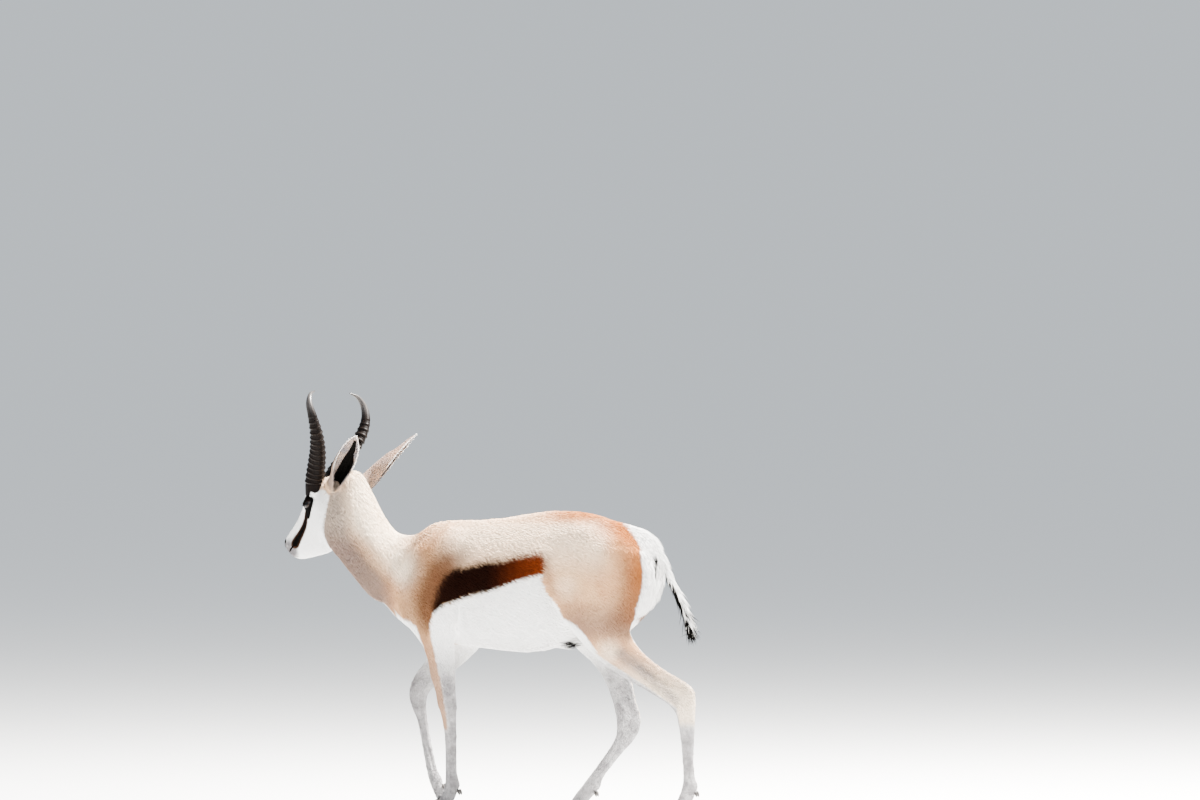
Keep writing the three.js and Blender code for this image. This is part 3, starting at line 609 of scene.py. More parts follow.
def bodyLift(here, facing):
    # facing is how far a skin point looks out to its own side
    view = here[:, [0, 2]]
    lift = np.zeros(len(here))
    for line, height, width in bodyLines.values():
        fine = curveThrough(line, 12)
        distance, along = strokeDistance(view, fine)
        lift -= groove(distance, height, width) * (0.35 + 0.65 * np.sin(np.pi * np.clip(along, 0.08, 0.92)))
    for x in np.linspace(ribs["first"], ribs["last"], ribs["count"]):
        line = [
            (x, ribs["top"]), (x + 0.6 * ribs["lean"], ribs["middle"]), (x + 0.2 * ribs["lean"], ribs["low"]),
        ]
        distance, along = strokeDistance(view, curveThrough(line, 8))
        lift -= groove(distance, ribs["height"], ribs["width"]) * np.sin(np.pi * along)
    return lift * softStep(facing, 0.15, 0.6)


# Joints of the legs: which stations the knee or hock, the shin and the ankle are at
legJoints = {"fore": (3, 4, 6), "hind": (4, 5, 7)}


def legLift(here, name):
    # swells at each joint, and the hollow between the shin and the tendon behind it
    stations = [np.array(place) for place, _, _ in legStations[name]]
    kind = name.split("_")[1]
    knee, shin, ankle = (stations[index] for index in legJoints[kind])
    down = (ankle - knee) / np.linalg.norm(ankle - knee)
    ahead = np.array([down[2], 0, -down[0]])
    aside = np.array([0, math.copysign(1, knee[1]), 0])
    swells = [
        (knee + 0.018 * aside, 0.016, 0.0020), (knee - 0.018 * aside, 0.016, 0.0020),
        (knee + 0.020 * ahead, 0.020, 0.0015 if kind == "fore" else -0.0012),
        (ankle + 0.014 * aside, 0.012, 0.0018), (ankle - 0.014 * aside, 0.012, 0.0018),
        (ankle - 0.018 * ahead, 0.011, 0.0030),
    ]
    lift = np.zeros(len(here))
    for at, reach, height in swells:
        lift += height * np.exp(-((np.linalg.norm(here - at, axis=1) / reach) ** 2))
    near = softStep(np.abs(here[:, 1] - shin[1]), 0.004, 0.010)
    line = np.array([knee + down * 0.035, shin, ankle - down * 0.022]) - ahead * 0.0035
    distance, _ = strokeDistance(here[:, [0, 2]], line[:, [0, 2]])
    return lift + groove(distance, 0.0022, 0.0042) * near


skin = fusedBody()
skinWeights = regionWeights(skin.data)
skinEdges = edgePairs(skin.data)
moveTo(skin.data, softened(places(skin.data), skinEdges, byKind(skinWeights, skinSizes["soften"])))
fineHead(skin)
openEyes(skin)
skinWeights = regionWeights(skin.data)


def sculptSkin(made, weights):
    points = places(made.data)
    outward = normals(made.data)
    here, onFace = toBody(points), toHead(points)
    facing = outward[:, 1] * np.sign(here[:, 1])
    share = {name: weights[:, regions.index(name)] for name in regions}
    trunk = share["torso"] + share["neck"] + softStep(here[:, 2], 0.42, 0.50) * (1 - share["head"])
    lift = bodyLift(here, facing) * np.clip(trunk, 0, 1)
    for name in legStations:
        lift += legLift(here, name) * share[name]
    lidRim = np.zeros(len(points))
    head = softStep(share["head"], 0.2, 0.7)
    aside = np.abs(onFace[:, 1]) > eye["side"] - 0.004
    around = onFace[:, [0, 2]] - (eye["back"], eye["up"])
    lidRim[aside] = softStep(areaDistance(around[aside], eyeOpening()), -0.0012, -0.0002)
    lift += faceLift(onFace) * head
    lift -= byKind(weights, skinSizes["depth"])
    points = points + outward * np.where(lidRim > 0.5, 0, lift)[:, None]
    onFace = toHead(points)
    for side in sides.values():
        away = onFace - (eye["back"], side * eye["side"], eye["up"])
        reach = np.linalg.norm(away, axis=1)
        covers = (lidRim < 0.5) & (reach < eye["radius"] + face["rim"]) & (away[:, 1] * side > -0.002)
        onFace[covers] += away[covers] * ((eye["radius"] + face["rim"]) / reach[covers] - 1)[:, None]
    moveTo(made.data, onFace @ headTurn.T + noseTip)


sculptSkin(skin, skinWeights)
print("skin:", len(skin.data.vertices), "points,", len(skin.data.polygons), "faces")

# Markings: outlines on the body seen from the side, in metres back and up, the same on both sides
marks = {
    # the gaskin's groove is a line of painted shade
    "gaskinGroove": [(0.262, 0.426), (0.31, 0.388), (0.4031, 0.306)],
    # line, strength and reach of the painted shade in each crease
    "creases": [
        ([(0.060, 0.672), (0.066, 0.63), (0.079, 0.581)], 0.30, 0.022),
        ([(-0.300, 0.710), (-0.359, 0.626), (-0.367, 0.550)], 0.20, 0.026),
    ],
    "throatLine": [(-0.560, 0.86), (-0.532, 0.70), (-0.4575, 0.611), (-0.37, 0.527)],
    "flankTop": [
        (-0.234, 0.542), (-0.220, 0.592), (-0.208, 0.620), (-0.180, 0.639), (-0.143, 0.647),
        (-0.103, 0.657), (-0.058, 0.660), (-0.019, 0.671), (0.018, 0.676), (0.049, 0.680), (0.064, 0.652),
    ],
    "flankLow": [
        (0.053, 0.627), (0.027, 0.622), (-0.018, 0.608), (-0.066, 0.590), (-0.098, 0.581),
        (-0.138, 0.571), (-0.167, 0.561), (-0.207, 0.546), (-0.227, 0.526),
    ],
    "bellyRear": [
        (0.049, 0.612), (0.063, 0.581), (0.079, 0.561), (0.094, 0.542), (0.102, 0.515),
        (0.123, 0.487), (0.147, 0.464), (0.175, 0.440), (0.205, 0.410),
    ],
    "bellyFront": [
        (0.205, 0.300), (-0.170, 0.300), (-0.195, 0.430), (-0.226, 0.500),
    ],
    "brisket": [
        (-0.350, 0.530), (-0.331, 0.512), (-0.300, 0.507), (-0.277, 0.490), (-0.262, 0.440), (-0.40, 0.40),
    ],
    "rump": [
        (0.205, 0.790), (0.221, 0.764), (0.257, 0.746), (0.284, 0.721), (0.303, 0.700), (0.312, 0.668),
        (0.318, 0.632), (0.316, 0.596), (0.307, 0.560), (0.295, 0.525), (0.282, 0.489), (0.272, 0.462),
        (0.300, 0.440), (0.500, 0.440), (0.500, 0.850), (0.205, 0.850),
    ],
    "face": [
        (-0.03, -0.16), (0.142, -0.16), (0.147, -0.119), (0.160, -0.075), (0.174, -0.034), (0.206, -0.024),
        (0.246, -0.013), (0.248, 0.008), (0.214, 0.022), (0.190, 0.036), (0.170, 0.052), (0.120, 0.10),
        (-0.03, 0.10),
    ],
    "stripe": [
        (0.146, 0.020), (0.130, 0.015), (0.115, 0.007), (0.088, -0.008), (0.060, -0.018), (0.040, -0.024),
    ],
    "spike": [(0.142, 0.026), (0.158, 0.044), (0.172, 0.062)],
    "patch": [(0.146, 0.020), (0.124, 0.001)],
    "tailLine": [(0.354, 0.625), (0.385, 0.570), (0.424, 0.472)],
    "vent": [(0.034, 0.678), (0.040, 0.656), (0.036, 0.640)],
    "sheath": (0.088, 0.445), "elbow": (-0.290, 0.510), "crown": (0.205, 0, 0.055), "cheek": (0.205, 0.008),
    "muzzle": (0.010, -0.027), "nose": (-0.001, 0, -0.008), "noseReach": 0.0128,
    "nosePress": (1.0, 0.85, 0.72),
    "foreStripe": 0.12, "foreStripeEnd": 0.225, "gaskinEdge": 0.66, "gaskinEnd": 0.245,
    # place, reach and strength of each paler spot
    "paleSpots": [((-0.312, 0.638), 0.07, 0.60), ((0.232, 0.428), 0.05, 0.75), ((0.115, 0.600), 0.06, 0.4)],
}
# The marks of a place that has none
plainMarks = {
    "white": -1, "flank": -1, "ruddy": 0, "rust": 0, "black": -1, "brown": -1, "grey": 0, "pale": 0,
    "dusk": 0, "cool": 0,
}


def legPlace(here, name):
    # how far ahead of a leg's middle line, and the leg's half depth there
    stations = np.array([place for place, _, _ in legStations[name]])
    depths = np.array([deep for _, deep, _ in legStations[name]])
    _, along = strokeDistance(here[:, [0, 2]], stations[:, [0, 2]])
    at = along * (len(stations) - 1)
    low = np.clip(at.astype(int), 0, len(stations) - 2)
    share = (at - low)[:, None]
    middle = stations[low] * (1 - share) + stations[low + 1] * share
    run = stations[low + 1] - stations[low]
    ahead = np.column_stack([run[:, 2], -run[:, 0]]) / np.linalg.norm(run[:, [0, 2]], axis=1)[:, None]
    front = np.sum((here - middle)[:, [0, 2]] * ahead, axis=1)
    return front, depths[low] * (1 - share[:, 0]) + depths[low + 1] * share[:, 0]


def nosePad(aside):
    # how far inside the black end of the nose
    return marks["noseReach"] - np.linalg.norm((aside - marks["nose"]) * marks["nosePress"], axis=1)


class Spots:
    # places on the skin as seen from the body and from the head, and how near to the outlines of the marks
    def __init__(self, points, outward, weights):
        self.here, self.onFace, self.outward = toBody(points), toHead(points), outward
        self.back, self.up, self.view = self.here[:, 0], self.here[:, 2], self.here[:, [0, 2]]
        self.facing = outward[:, 1] * np.sign(self.here[:, 1])
        self.aside = mirrored(self.onFace)
        self.side = self.aside[:, [0, 2]]
        self.share = {name: weights[:, regions.index(name)] for name in regions}
        self.head, self.tail = softStep(self.share["head"], 0.35, 0.65), self.share["tail"]
        self.band = areaDistance(self.view, marks["flankTop"] + marks["flankLow"])
        self.rump = areaDistance(self.view, marks["rump"])
        self.toTop, self.toLow, self.toThroat = (
            strokeDistance(self.view, marks[name])[0] for name in ("flankTop", "flankLow", "throatLine")
        )
        self.toLips = strokeDistance(self.side, face["mouth"])[0]
        self.throat = softStep(self.toThroat, 0.090, 0.042) * softStep(self.back, -0.33, -0.40)
        self.crown = softStep(np.linalg.norm(self.onFace - marks["crown"], axis=1), 0.055, 0.030) * self.head


def whiteMark(at):
    # belly, rump, brisket, tail, the legs' inner sides and edges, a line down the throat, and the face
    brisket = areaDistance(at.view, marks["brisket"])
    belly = areaDistance(at.view, marks["flankLow"][::-1] + marks["bellyRear"] + marks["bellyFront"])
    white = np.maximum(np.maximum(belly, at.rump), brisket)
    white = np.maximum(white, (at.tail - 0.5) * 0.02)
    inner = (-0.05 - at.facing) * 0.03 + 0.02 * softStep(at.up, 0.60, 0.50) - 0.02
    for name in legStations:
        front, deep = legPlace(at.here, name)
        own = softStep(at.share[name], 0.3, 0.7) * softStep(at.up, 0.54, 0.47)
        if "fore" in name:
            leg = np.maximum(marks["foreStripe"] * deep - front, (marks["foreStripeEnd"] - at.up) * 0.5)
            leg = np.maximum(leg, brisket)
        else:
            leg = np.maximum(front - marks["gaskinEdge"] * deep, (marks["gaskinEnd"] - at.up) * 0.3)
        white = white * (1 - own) + np.maximum(leg, inner) * own
    offLine = np.abs(at.here[:, 1] - 0.09 * softStep(-at.back, 0.35, 0.60))
    throat = 0.020 - offLine - 0.03 * (at.outward[:, 2] > 0.1)
    white = np.maximum(white, np.where(at.back < -0.36, throat * (1 - at.head) - 0.02 * at.head, -1))
    forehead = 0.019 - at.aside[:, 1] * 1.1 - 0.25 * np.abs(at.onFace[:, 0] - 0.185) * (at.onFace[:, 2] > 0)
    forehead = np.where((at.onFace[:, 2] > 0.02) & (at.onFace[:, 0] > 0.118), forehead, -0.05)
    faceWhite = np.minimum(areaDistance(at.side, marks["face"]), 0.004 - forehead)
    return white * (1 - at.head) + faceWhite * at.head


def brownMark(at):
    # the stripe from the eye to the corner of the mouth
    stripe, along = strokeDistance(at.side, marks["stripe"])
    brown = 0.0052 + 0.0096 * along - stripe - 0.02 * (1 - softStep(at.aside[:, 1], 0.008, 0.016))
    return np.where(at.head > 0.3, brown, -0.05)


def blackMark(at):
    # the patch round the eye, nostrils, nose and lips, then the tail, the sheath and a dark streak by the
    # tail's root
    rim = 0.0080 + areaDistance(at.side - (eye["back"], eye["up"]), eyeOpening())
    spike, height = strokeDistance(at.side, marks["spike"])
    patch, down = strokeDistance(at.side, marks["patch"])
    black = np.maximum(np.maximum(rim, 0.0135 - 0.006 * height - spike), 0.0155 - 0.0075 * down - patch)
    black = black - 0.02 * (1 - softStep(at.aside[:, 1], 0.012, 0.018))
    nostril = 0.0066 - strokeDistance(at.aside, face["nostril"])[0]
    black = np.maximum(np.maximum(black, nostril), np.maximum(nosePad(at.aside), 0.0024 - at.toLips))
    black = np.where(at.head > 0.3, black, -0.05)
    underTail = 0.0075 - strokeDistance(at.view, marks["tailLine"])[0] - 0.02 * (at.outward[:, 0] > 0.1)
    _, down = strokeDistance(at.here, tailLine)
    underTail = np.maximum(underTail, np.minimum((down - 0.38) * 0.1, (0.32 - at.outward[:, 0]) * 0.02))
    underTail = np.maximum(underTail, (down - 0.78) * 0.2)
    sheath = 0.0165 - np.linalg.norm(at.view - marks["sheath"], axis=1) - np.abs(at.here[:, 1]) * 0.4
    black = np.maximum(black, np.where(at.tail > 0.5, underTail, sheath))
    across = np.column_stack([np.abs(at.here[:, 1]), at.up])
    vent = 0.0092 - strokeDistance(across, marks["vent"])[0]
    return np.maximum(black, np.where((at.tail < 0.5) & (at.back > 0.28), vent, -0.05))


def rustMark(at):
    # the edge round the rump, and the croup
    rust = softStep(at.rump, -0.090, 0.0) ** 1.3 * softStep(at.up, 0.45, 0.76) * (at.back > 0)
    return np.maximum(rust, 0.95 * softStep(at.up, 0.735, 0.785) * softStep(at.back, -0.08, 0.14))


def duskMark(at):
    # darker fur ahead of the flank's band, over it and ahead of the rump; painted shade in the creases, at
    # the elbow and on the throat
    dusk = softStep(at.band, -0.102, -0.022) * softStep(at.back, -0.12, -0.20) * (at.toTop < at.toLow + 0.014)
    dusk = np.maximum(dusk, 0.35 * softStep(at.band, -0.020, 0.0) * (at.toTop < at.toLow))
    # painted shade in the creases
    for line, strength, reach in marks["creases"]:
        dusk = np.maximum(dusk, strength * softStep(strokeDistance(at.view, line)[0], reach, 0.0))
    # painted shade in the elbow's crease
    elbow = np.linalg.norm((at.view - marks["elbow"]) * (1.0, 0.55), axis=1)
    dusk = np.maximum(dusk, 0.55 * softStep(elbow, 0.060, 0.012) * softStep(at.facing, 0.0, 0.4))
    rearEdge = softStep(at.rump, -0.085, -0.015) * softStep(at.up, 0.74, 0.62)
    dusk = np.maximum(dusk, 0.80 * rearEdge * softStep(at.up, 0.46, 0.52))
    # painted shade on the throat
    return np.maximum(dusk, (0.14 + 0.12 * softStep(at.up, 0.70, 0.80)) * at.throat * (1 - at.head))


def greyShadeMark(at):
    # painted shade: the thigh's lower half, a strip down the forelegs, the throat and the front of the neck
    grey = softStep(at.up, 0.60, 0.50) * softStep(at.back, 0.05, 0.15)
    grey *= 1 - softStep(at.up, 0.49, 0.43)
    foreStrip = softStep(at.up, 0.50, 0.42) * (at.back < -0.10)
    return np.maximum(np.maximum(grey, 0.55 * foreStrip), 1.05 * at.throat)


def paleMark(at):
    # the lower hind legs' own cream and a few paler spots, with painted light on the withers, on a lit strip
    # along the side and on the nape
    pale = softStep(at.up, 0.46, 0.30) * (at.back > 0)
    # painted light on the top of the back, ahead of the hips
    pale = np.maximum(pale, softStep(at.up, 0.68, 0.78) * softStep(at.back, 0.16, -0.02) * 0.55)
    # painted light: a lit strip along the side
    lit = softStep(at.up, 0.590, 0.720) * softStep(at.up, 0.775, 0.745)
    pale = np.maximum(pale, 0.74 * lit * softStep(at.back, -0.25, -0.17) * softStep(at.back, 0.25, 0.19))
    for place, reach, strength in marks["paleSpots"]:
        pale = np.maximum(pale, strength * softStep(np.linalg.norm(at.view - place, axis=1), reach, 0.0))
    # painted light on the sunlit nape
    nape = softStep(at.toThroat, 0.055, 0.125) * softStep(at.back, -0.27, -0.36)
    return np.clip(pale + nape * 0.9, 0, 1)


def coolShadeMark(at, white):
    # painted cold shade on the throat, jaw, crown, cheek, lower legs, muzzle and along the gaskin
    jaw = softStep(at.toLips, 0.020, 0.007) * softStep(at.onFace[:, 0], 0.075, 0.040) * at.head
    cool = np.maximum(at.throat * 0.42 * (1 - at.head), jaw * 0.85)
    cool = np.maximum(cool, 0.6 * at.crown * softStep(at.aside[:, 1], 0.02, 0.04))
    cheek = softStep(np.linalg.norm(at.side - marks["cheek"], axis=1), 0.050, 0.015) * at.head
    cool = np.maximum(cool, 0.22 * cheek)
    # painted shade low on the body and legs, stronger on white
    shaded = 0.82 * softStep(at.up, 0.48, 0.34) * (0.35 + 0.65 * softStep(white, -0.005, 0.005))
    cool = np.maximum(cool, shaded * (1 - at.tail))
    muzzle = np.linalg.norm(at.side - marks["muzzle"], axis=1) + 0.03 * softStep(at.aside[:, 1], 0.010, 0.004)
    cool = np.maximum(cool, 0.95 * softStep(muzzle, 0.038, 0.020) * at.head)
    # painted shade in the groove between the shin and the tendon of the hind legs
    toGroove, _ = strokeDistance(at.view, marks["gaskinGroove"])
    onHind = softStep(at.share["leg_hind_left"] + at.share["leg_hind_right"], 0.3, 0.7)
    return np.maximum(cool, 0.68 * softStep(toGroove, 0.028, 0.004) * onHind * softStep(at.back, 0.20, 0.24))


def markSkin(at):
    # the band on the flank has a soft upper edge, and stays off the inner sides
    flank = np.where(at.toTop < at.toLow, at.band * 0.45, at.band)
    trunk = np.clip(1 - at.share["head"] - at.tail, 0, 1)
    white = whiteMark(at)
    return {
        "white": white, "flank": flank - 0.08 * (1 - softStep(at.facing, -0.35, -0.05)),
        "ruddy": softStep(at.back, -0.10, 0.07), "rust": rustMark(at), "black": blackMark(at),
        "brown": brownMark(at), "grey": greyShadeMark(at) * trunk, "pale": paleMark(at) * trunk + 0.8 * at.crown,
        "dusk": duskMark(at), "cool": coolShadeMark(at, white),
    }


def storeMarks(mesh, values):
    for name, value in values.items():
        held = mesh.attributes.new(name, "FLOAT", "POINT")
        held.data.foreach_set("value", np.asarray(value, np.float32))


# What the skin under the tufts has for their two other values
underCoat = {"tip": 0.35, "shade": 0.5}


def storeSkinMarks(mesh, values):
    even = {name: np.full(len(mesh.vertices), value) for name, value in underCoat.items()}
    storeMarks(mesh, {**values, **even})


skinMarks = markSkin(Spots(places(skin.data), normals(skin.data), skinWeights))
storeSkinMarks(skin.data, skinMarks)


# Materials
class Wire:
    # a shader socket that takes part in Python sums
    def __init__(self, tree, socket):
        self.tree, self.socket = tree, socket

    def maths(self, operation, other, swapped=False):
        pair = (other, self) if swapped else (self, other)
        made = self.tree.nodes.new("ShaderNodeMath")
        made.operation = operation
        for socket, value in zip(made.inputs, pair):
            if isinstance(value, Wire):
                self.tree.links.new(value.socket, socket)
            else:
                socket.default_value = value
        return Wire(self.tree, made.outputs[0])

    def __add__(self, other):
        return self.maths("ADD", other)

    def __sub__(self, other):
        return self.maths("SUBTRACT", other)

    def __mul__(self, other):
        return self.maths("MULTIPLY", other)

    def __truediv__(self, other):
        return self.maths("DIVIDE", other)

    def __radd__(self, other):
        return self.maths("ADD", other, True)

    def __rsub__(self, other):
        return self.maths("SUBTRACT", other, True)

    def __rmul__(self, other):
        return self.maths("MULTIPLY", other, True)


class Material:
    def __init__(self, name, **fixed):
        self.made = bpy.data.materials.new(name)
        self.made.use_nodes = True
        self.tree = self.made.node_tree
        self.shader = self.tree.nodes["Principled BSDF"]
        for socket, value in fixed.items():
            self.shader.inputs[socket.replace("_", " ")].default_value = value

    def node(self, kind, settings=None, out=0, **values):
        # one node: its settings, then the values or links of its sockets, by name or by s and a number
        made = self.tree.nodes.new("ShaderNode" + kind)
        for name, value in (settings or {}).items():
            if name == "stops":
                ramp = made.color_ramp
                while len(ramp.elements) < len(value):
                    ramp.elements.new(0.5)
                for element, (at, color) in zip(ramp.elements, value):
                    element.position, element.color = at, color
            else:
                setattr(made, name, value)
        for name, value in values.items():
            socket = made.inputs[int(name[1:])] if name[1:].isdigit() else made.inputs[name.replace("_", " ")]
            if isinstance(value, Wire):
                self.tree.links.new(value.socket, socket)
            else:
                socket.default_value = value
        return Wire(self.tree, made.outputs[out])

    def attribute(self, name):
        return self.node("Attribute", {"attribute_name": name}, out=2)

    def place(self, **mapping):
        at = self.node("TexCoord", out=3)
        return self.node("Mapping", Vector=at, **mapping) if mapping else at

    def noise(self, scale, detail=3.0, roughness=0.6, at=None, distortion=0.0):
        return self.node(
            "TexNoise", Vector=at or self.place(), Scale=scale, Detail=detail, Roughness=roughness,
            Distortion=distortion,
        )

    def ramp(self, value, low, high):
        return self.node("MapRange", {"interpolation_type": "SMOOTHSTEP"}, s0=value, s1=low, s2=high)

    def mix(self, share, first, second, blend="MIX"):
        return self.node(
            "Mix", {"data_type": "RGBA", "blend_type": blend}, out=2, s0=share, s6=first, s7=second
        )

    def feed(self, **links):
        for name, wire in links.items():
            self.tree.links.new(wire.socket, self.shader.inputs[name.replace("_", " ")])

    def bump(self, height, distance, strength=1.0):
        self.feed(Normal=self.node("Bump", Height=height, Distance=distance, Strength=strength))


def rgb(*screen):
    # a colour as seen on a screen, 0 to 255, as the shader's own values
    return (*(((c / 255 + 0.055) / 1.055) ** 2.4 if c > 10 else c / 3294.6 for c in screen), 1)


# grey and cool stand for painted shade, dusk in part; pale is in part painted light
coatColors = {
    "fawn": rgb(212, 168, 124), "fawnDark": rgb(192, 144, 104), "pale": rgb(242, 222, 196),
    "grey": rgb(118, 94, 82), "cool": rgb(102, 98, 100), "rust": rgb(154, 82, 16), "dusk": rgb(74, 42, 24),
    "flank": rgb(18, 5, 2), "flankRear": rgb(88, 34, 10), "white": rgb(246, 245, 243),
    "brown": rgb(48, 30, 20), "black": rgb(6, 5, 4),
}


def coatMaterial():
    # one material for skin and tufts, coloured by the marks stored on them
    coat = Material("coat", Roughness=0.85, Specular_IOR_Level=0.02)
    wander = coat.noise(90, 3) - 0.5
    drift = coat.noise(9, 4)
    mottle = coat.noise(34, 4, 0.7)
    shade = coat.attribute("shade")
    tip = coat.attribute("tip")

    def edge(name, soft, wave=0.006):
        return coat.ramp(coat.attribute(name) + wander * wave, -soft, soft)

    color = coat.mix(coat.ramp(drift, 0.35, 0.65), coatColors["fawn"], coatColors["fawnDark"])
    # painted shade: grey on the lower thigh, down the forelegs and on the throat and front of the neck
    color = coat.mix(coat.attribute("grey") * 0.75, color, coatColors["grey"])
    # pale is partly the legs' and crown's own cream and partly painted light on the nape, the withers and the
    # side
    color = coat.mix(coat.attribute("pale"), color, coatColors["pale"])
    # dusk is partly darker fur and partly painted shade in the creases, at the elbow and on the throat
    color = coat.mix(coat.attribute("dusk") * 0.92, color, coatColors["dusk"])
    color = coat.mix(coat.attribute("rust") * (0.70 + mottle * 0.4), color, coatColors["rust"])
    flank = coat.mix(coat.attribute("ruddy"), coatColors["flank"], coatColors["flankRear"])
    color = coat.mix(edge("flank", 0.005), color, flank)
    color = coat.mix(edge("white", 0.0035), color, coatColors["white"])
    # painted cold shade on the skin, and the grey of the ears, partly their own colour and partly painted
    # shade
    color = coat.mix(coat.attribute("cool") * (0.45 + mottle * 1.1), color, coatColors["cool"])
    color = coat.mix(edge("brown", 0.0022, 0.002), color, coatColors["brown"])
    core = coat.ramp(coat.attribute("brown") + wander * 0.002, 0.0032, 0.0080)
    color = coat.mix(core, color, coatColors["black"])
    color = coat.mix(edge("black", 0.0011, 0.001), color, coatColors["black"])
    light = 0.90 + (shade - underCoat["shade"]) * 0.16 + (tip - underCoat["tip"]) * 0.14
    light = light + (mottle - 0.5) * 0.12
    grey = coat.node("CombineColor", Red=light, Green=light, Blue=light)
    color = coat.mix(1.0, color, grey, "MULTIPLY")
    coat.feed(Base_Color=color)
    coat.bump(coat.noise(700, 2) + coat.noise(240, 3) * 0.8, 0.0009, 0.35)
    return coat.made


coat = coatMaterial()
skin.data.materials.append(coat)


# Lie of the coat: which way the hairs point, as back, to the right and up, on the head back, out and up
lies = {
    "chest": (0.35, 0, -0.9), "neck": (0.60, -0.07, -0.79), "head": (1, 0, -0.12), "thigh": (0.1, 0, -0.4),
    "shin": (0.15, 0, 0),
}


def lieField(mesh, points, outward, weights):
    here = toBody(points)
    share = {name: weights[:, regions.index(name)] for name in regions}
    rear = softStep(here[:, 0], 0.22, 0.33)
    flankDown = 0.55 * np.abs(outward[:, 1])
    trunk = np.column_stack([1 - 0.75 * rear, 0 * rear, -flankDown * (1 - rear) - rear])
    chest = softStep(here[:, 0], -0.22, -0.34)
    trunk = trunk * (1 - chest[:, None]) + np.array(lies["chest"]) * chest[:, None]
    lie = trunk * share["torso"][:, None]
    lie += np.array(lies["neck"]) * share["neck"][:, None]
    lie += (headTurn @ np.array(lies["head"])) * share["head"][:, None]
    for name in legStations:
        stations = np.array([place for place, _, _ in legStations[name]])
        _, along = strokeDistance(here[:, [0, 2]], stations[:, [0, 2]])
        low = np.clip((along * (len(stations) - 1)).astype(int), 0, len(stations) - 2)
        run = stations[low + 1] - stations[low]
        run = run / np.linalg.norm(run, axis=1)[:, None] + np.array(lies["shin"])
        high = softStep(here[:, 2], 0.42, 0.60)[:, None]
        lie += (run * (1 - high) + (trunk * 0.7 + np.array(lies["thigh"])) * high) * share[name][:, None]
    tail = np.array([onBody(*p) for p in tailLine])
    lie += (tail[-1] - tail[0]) / np.linalg.norm(tail[-1] - tail[0]) * share["tail"][:, None]
    lie += earAlong(1) * share["ear_left"][:, None] + earAlong(-1) * share["ear_right"][:, None]
    for _ in range(3):
        lie = relaxed(lie, edgePairs(mesh), 0.5, 4)
        lie -= np.sum(lie * outward, axis=1)[:, None] * outward
        lie /= np.maximum(np.linalg.norm(lie, axis=1), 1e-6)[:, None]
    return lie


def unwrap(made):
    # an unwrap of the skin's own shape, which the coat's patches share
    made.data.uv_layers.new(name="OFBake")
    bpy.context.view_layer.objects.active = made
    made.select_set(True)
    bpy.ops.object.mode_set(mode="EDIT")
    bpy.ops.mesh.select_all(action="SELECT")
    bpy.ops.uv.smart_project(angle_limit=math.radians(66), island_margin=0.001)
    bpy.ops.object.mode_set(mode="OBJECT")
    made.select_set(False)


class Roots:
    # where tufts are rooted, and the value of every field there
    def __init__(self, values):
        self.values, self.size = values, len(values["at"])

    def __getitem__(self, name):
        return self.values[name]

    def pick(self, chosen):
        return Roots({name: value[chosen] for name, value in self.values.items()})


def spreadRoots(made, density, fields, rng):
    # roots spread over a mesh by chance, with every field of its points carried to them
    mesh = made.data
    mesh.calc_loop_triangles()
    count = len(mesh.loop_triangles)
    corners, loops = np.empty(count * 3, np.int32), np.empty(count * 3, np.int32)
    mesh.loop_triangles.foreach_get("vertices", corners)
    mesh.loop_triangles.foreach_get("loops", loops)
    corners, loops = corners.reshape(-1, 3), loops.reshape(-1, 3)
    points = places(mesh)
    a, b, c = (points[corners[:, k]] for k in range(3))
    area = np.linalg.norm(np.cross(b - a, c - a), axis=1) / 2
    wanted = area * density[corners].mean(axis=1)
    owner = np.repeat(np.arange(count), (wanted + rng.random(count)).astype(int))
    u, v = rng.random((2, len(owner)))
    over = u + v > 1
    u[over], v[over] = 1 - u[over], 1 - v[over]
    share = np.column_stack([1 - u - v, u, v])
    values = {
        name: np.einsum("nk,nk...->n...", share, field[corners[owner]])
        for name, field in {"at": points, **fields}.items()
    }
    uv = np.empty(len(mesh.loops) * 2, np.float32)
    mesh.uv_layers["OFBake"].data.foreach_get("uv", uv)
    values["uv"] = np.einsum("nk,nkd->nd", share, uv.reshape(-1, 2)[loops[owner]])
    return Roots(values)


def unit(vectors):
    return vectors / np.maximum(np.linalg.norm(vectors, axis=1), 1e-9)[:, None]


tuftSizes = {
    "most": 19500, "rows": (0.0, 0.5), "widths": (0.8, 1.0), "across": (-0.5, 0.5, 0.0),
    "ridge": (-0.10, -0.10, 0.24), "curl": 0.10, "roomUsed": 0.7, "roomLeft": 0.001, "least": 0.0006,
    "vary": {"length": (0.72, 1.22), "width": (0.8, 1.25), "lift": (0.5, 1.5)},
    # a blade's faces; for each of its seven points the place in its patch of the unwrap, and how near the tip
    "faces": [(0, 2, 1), (0, 1, 4, 3), (1, 2, 5, 4), (2, 0, 3, 5), (3, 4, 6), (4, 5, 6), (5, 3, 6)],
    "spread": [(-0.5, -0.5), (0.5, -0.5), (0, -0.35), (-0.4, 0), (0.4, 0), (0, 0.15), (0, 0.5)],
    "tip": [0, 0, 0.1, 0.5, 0.5, 0.5, 1], "patch": 0.003,
}


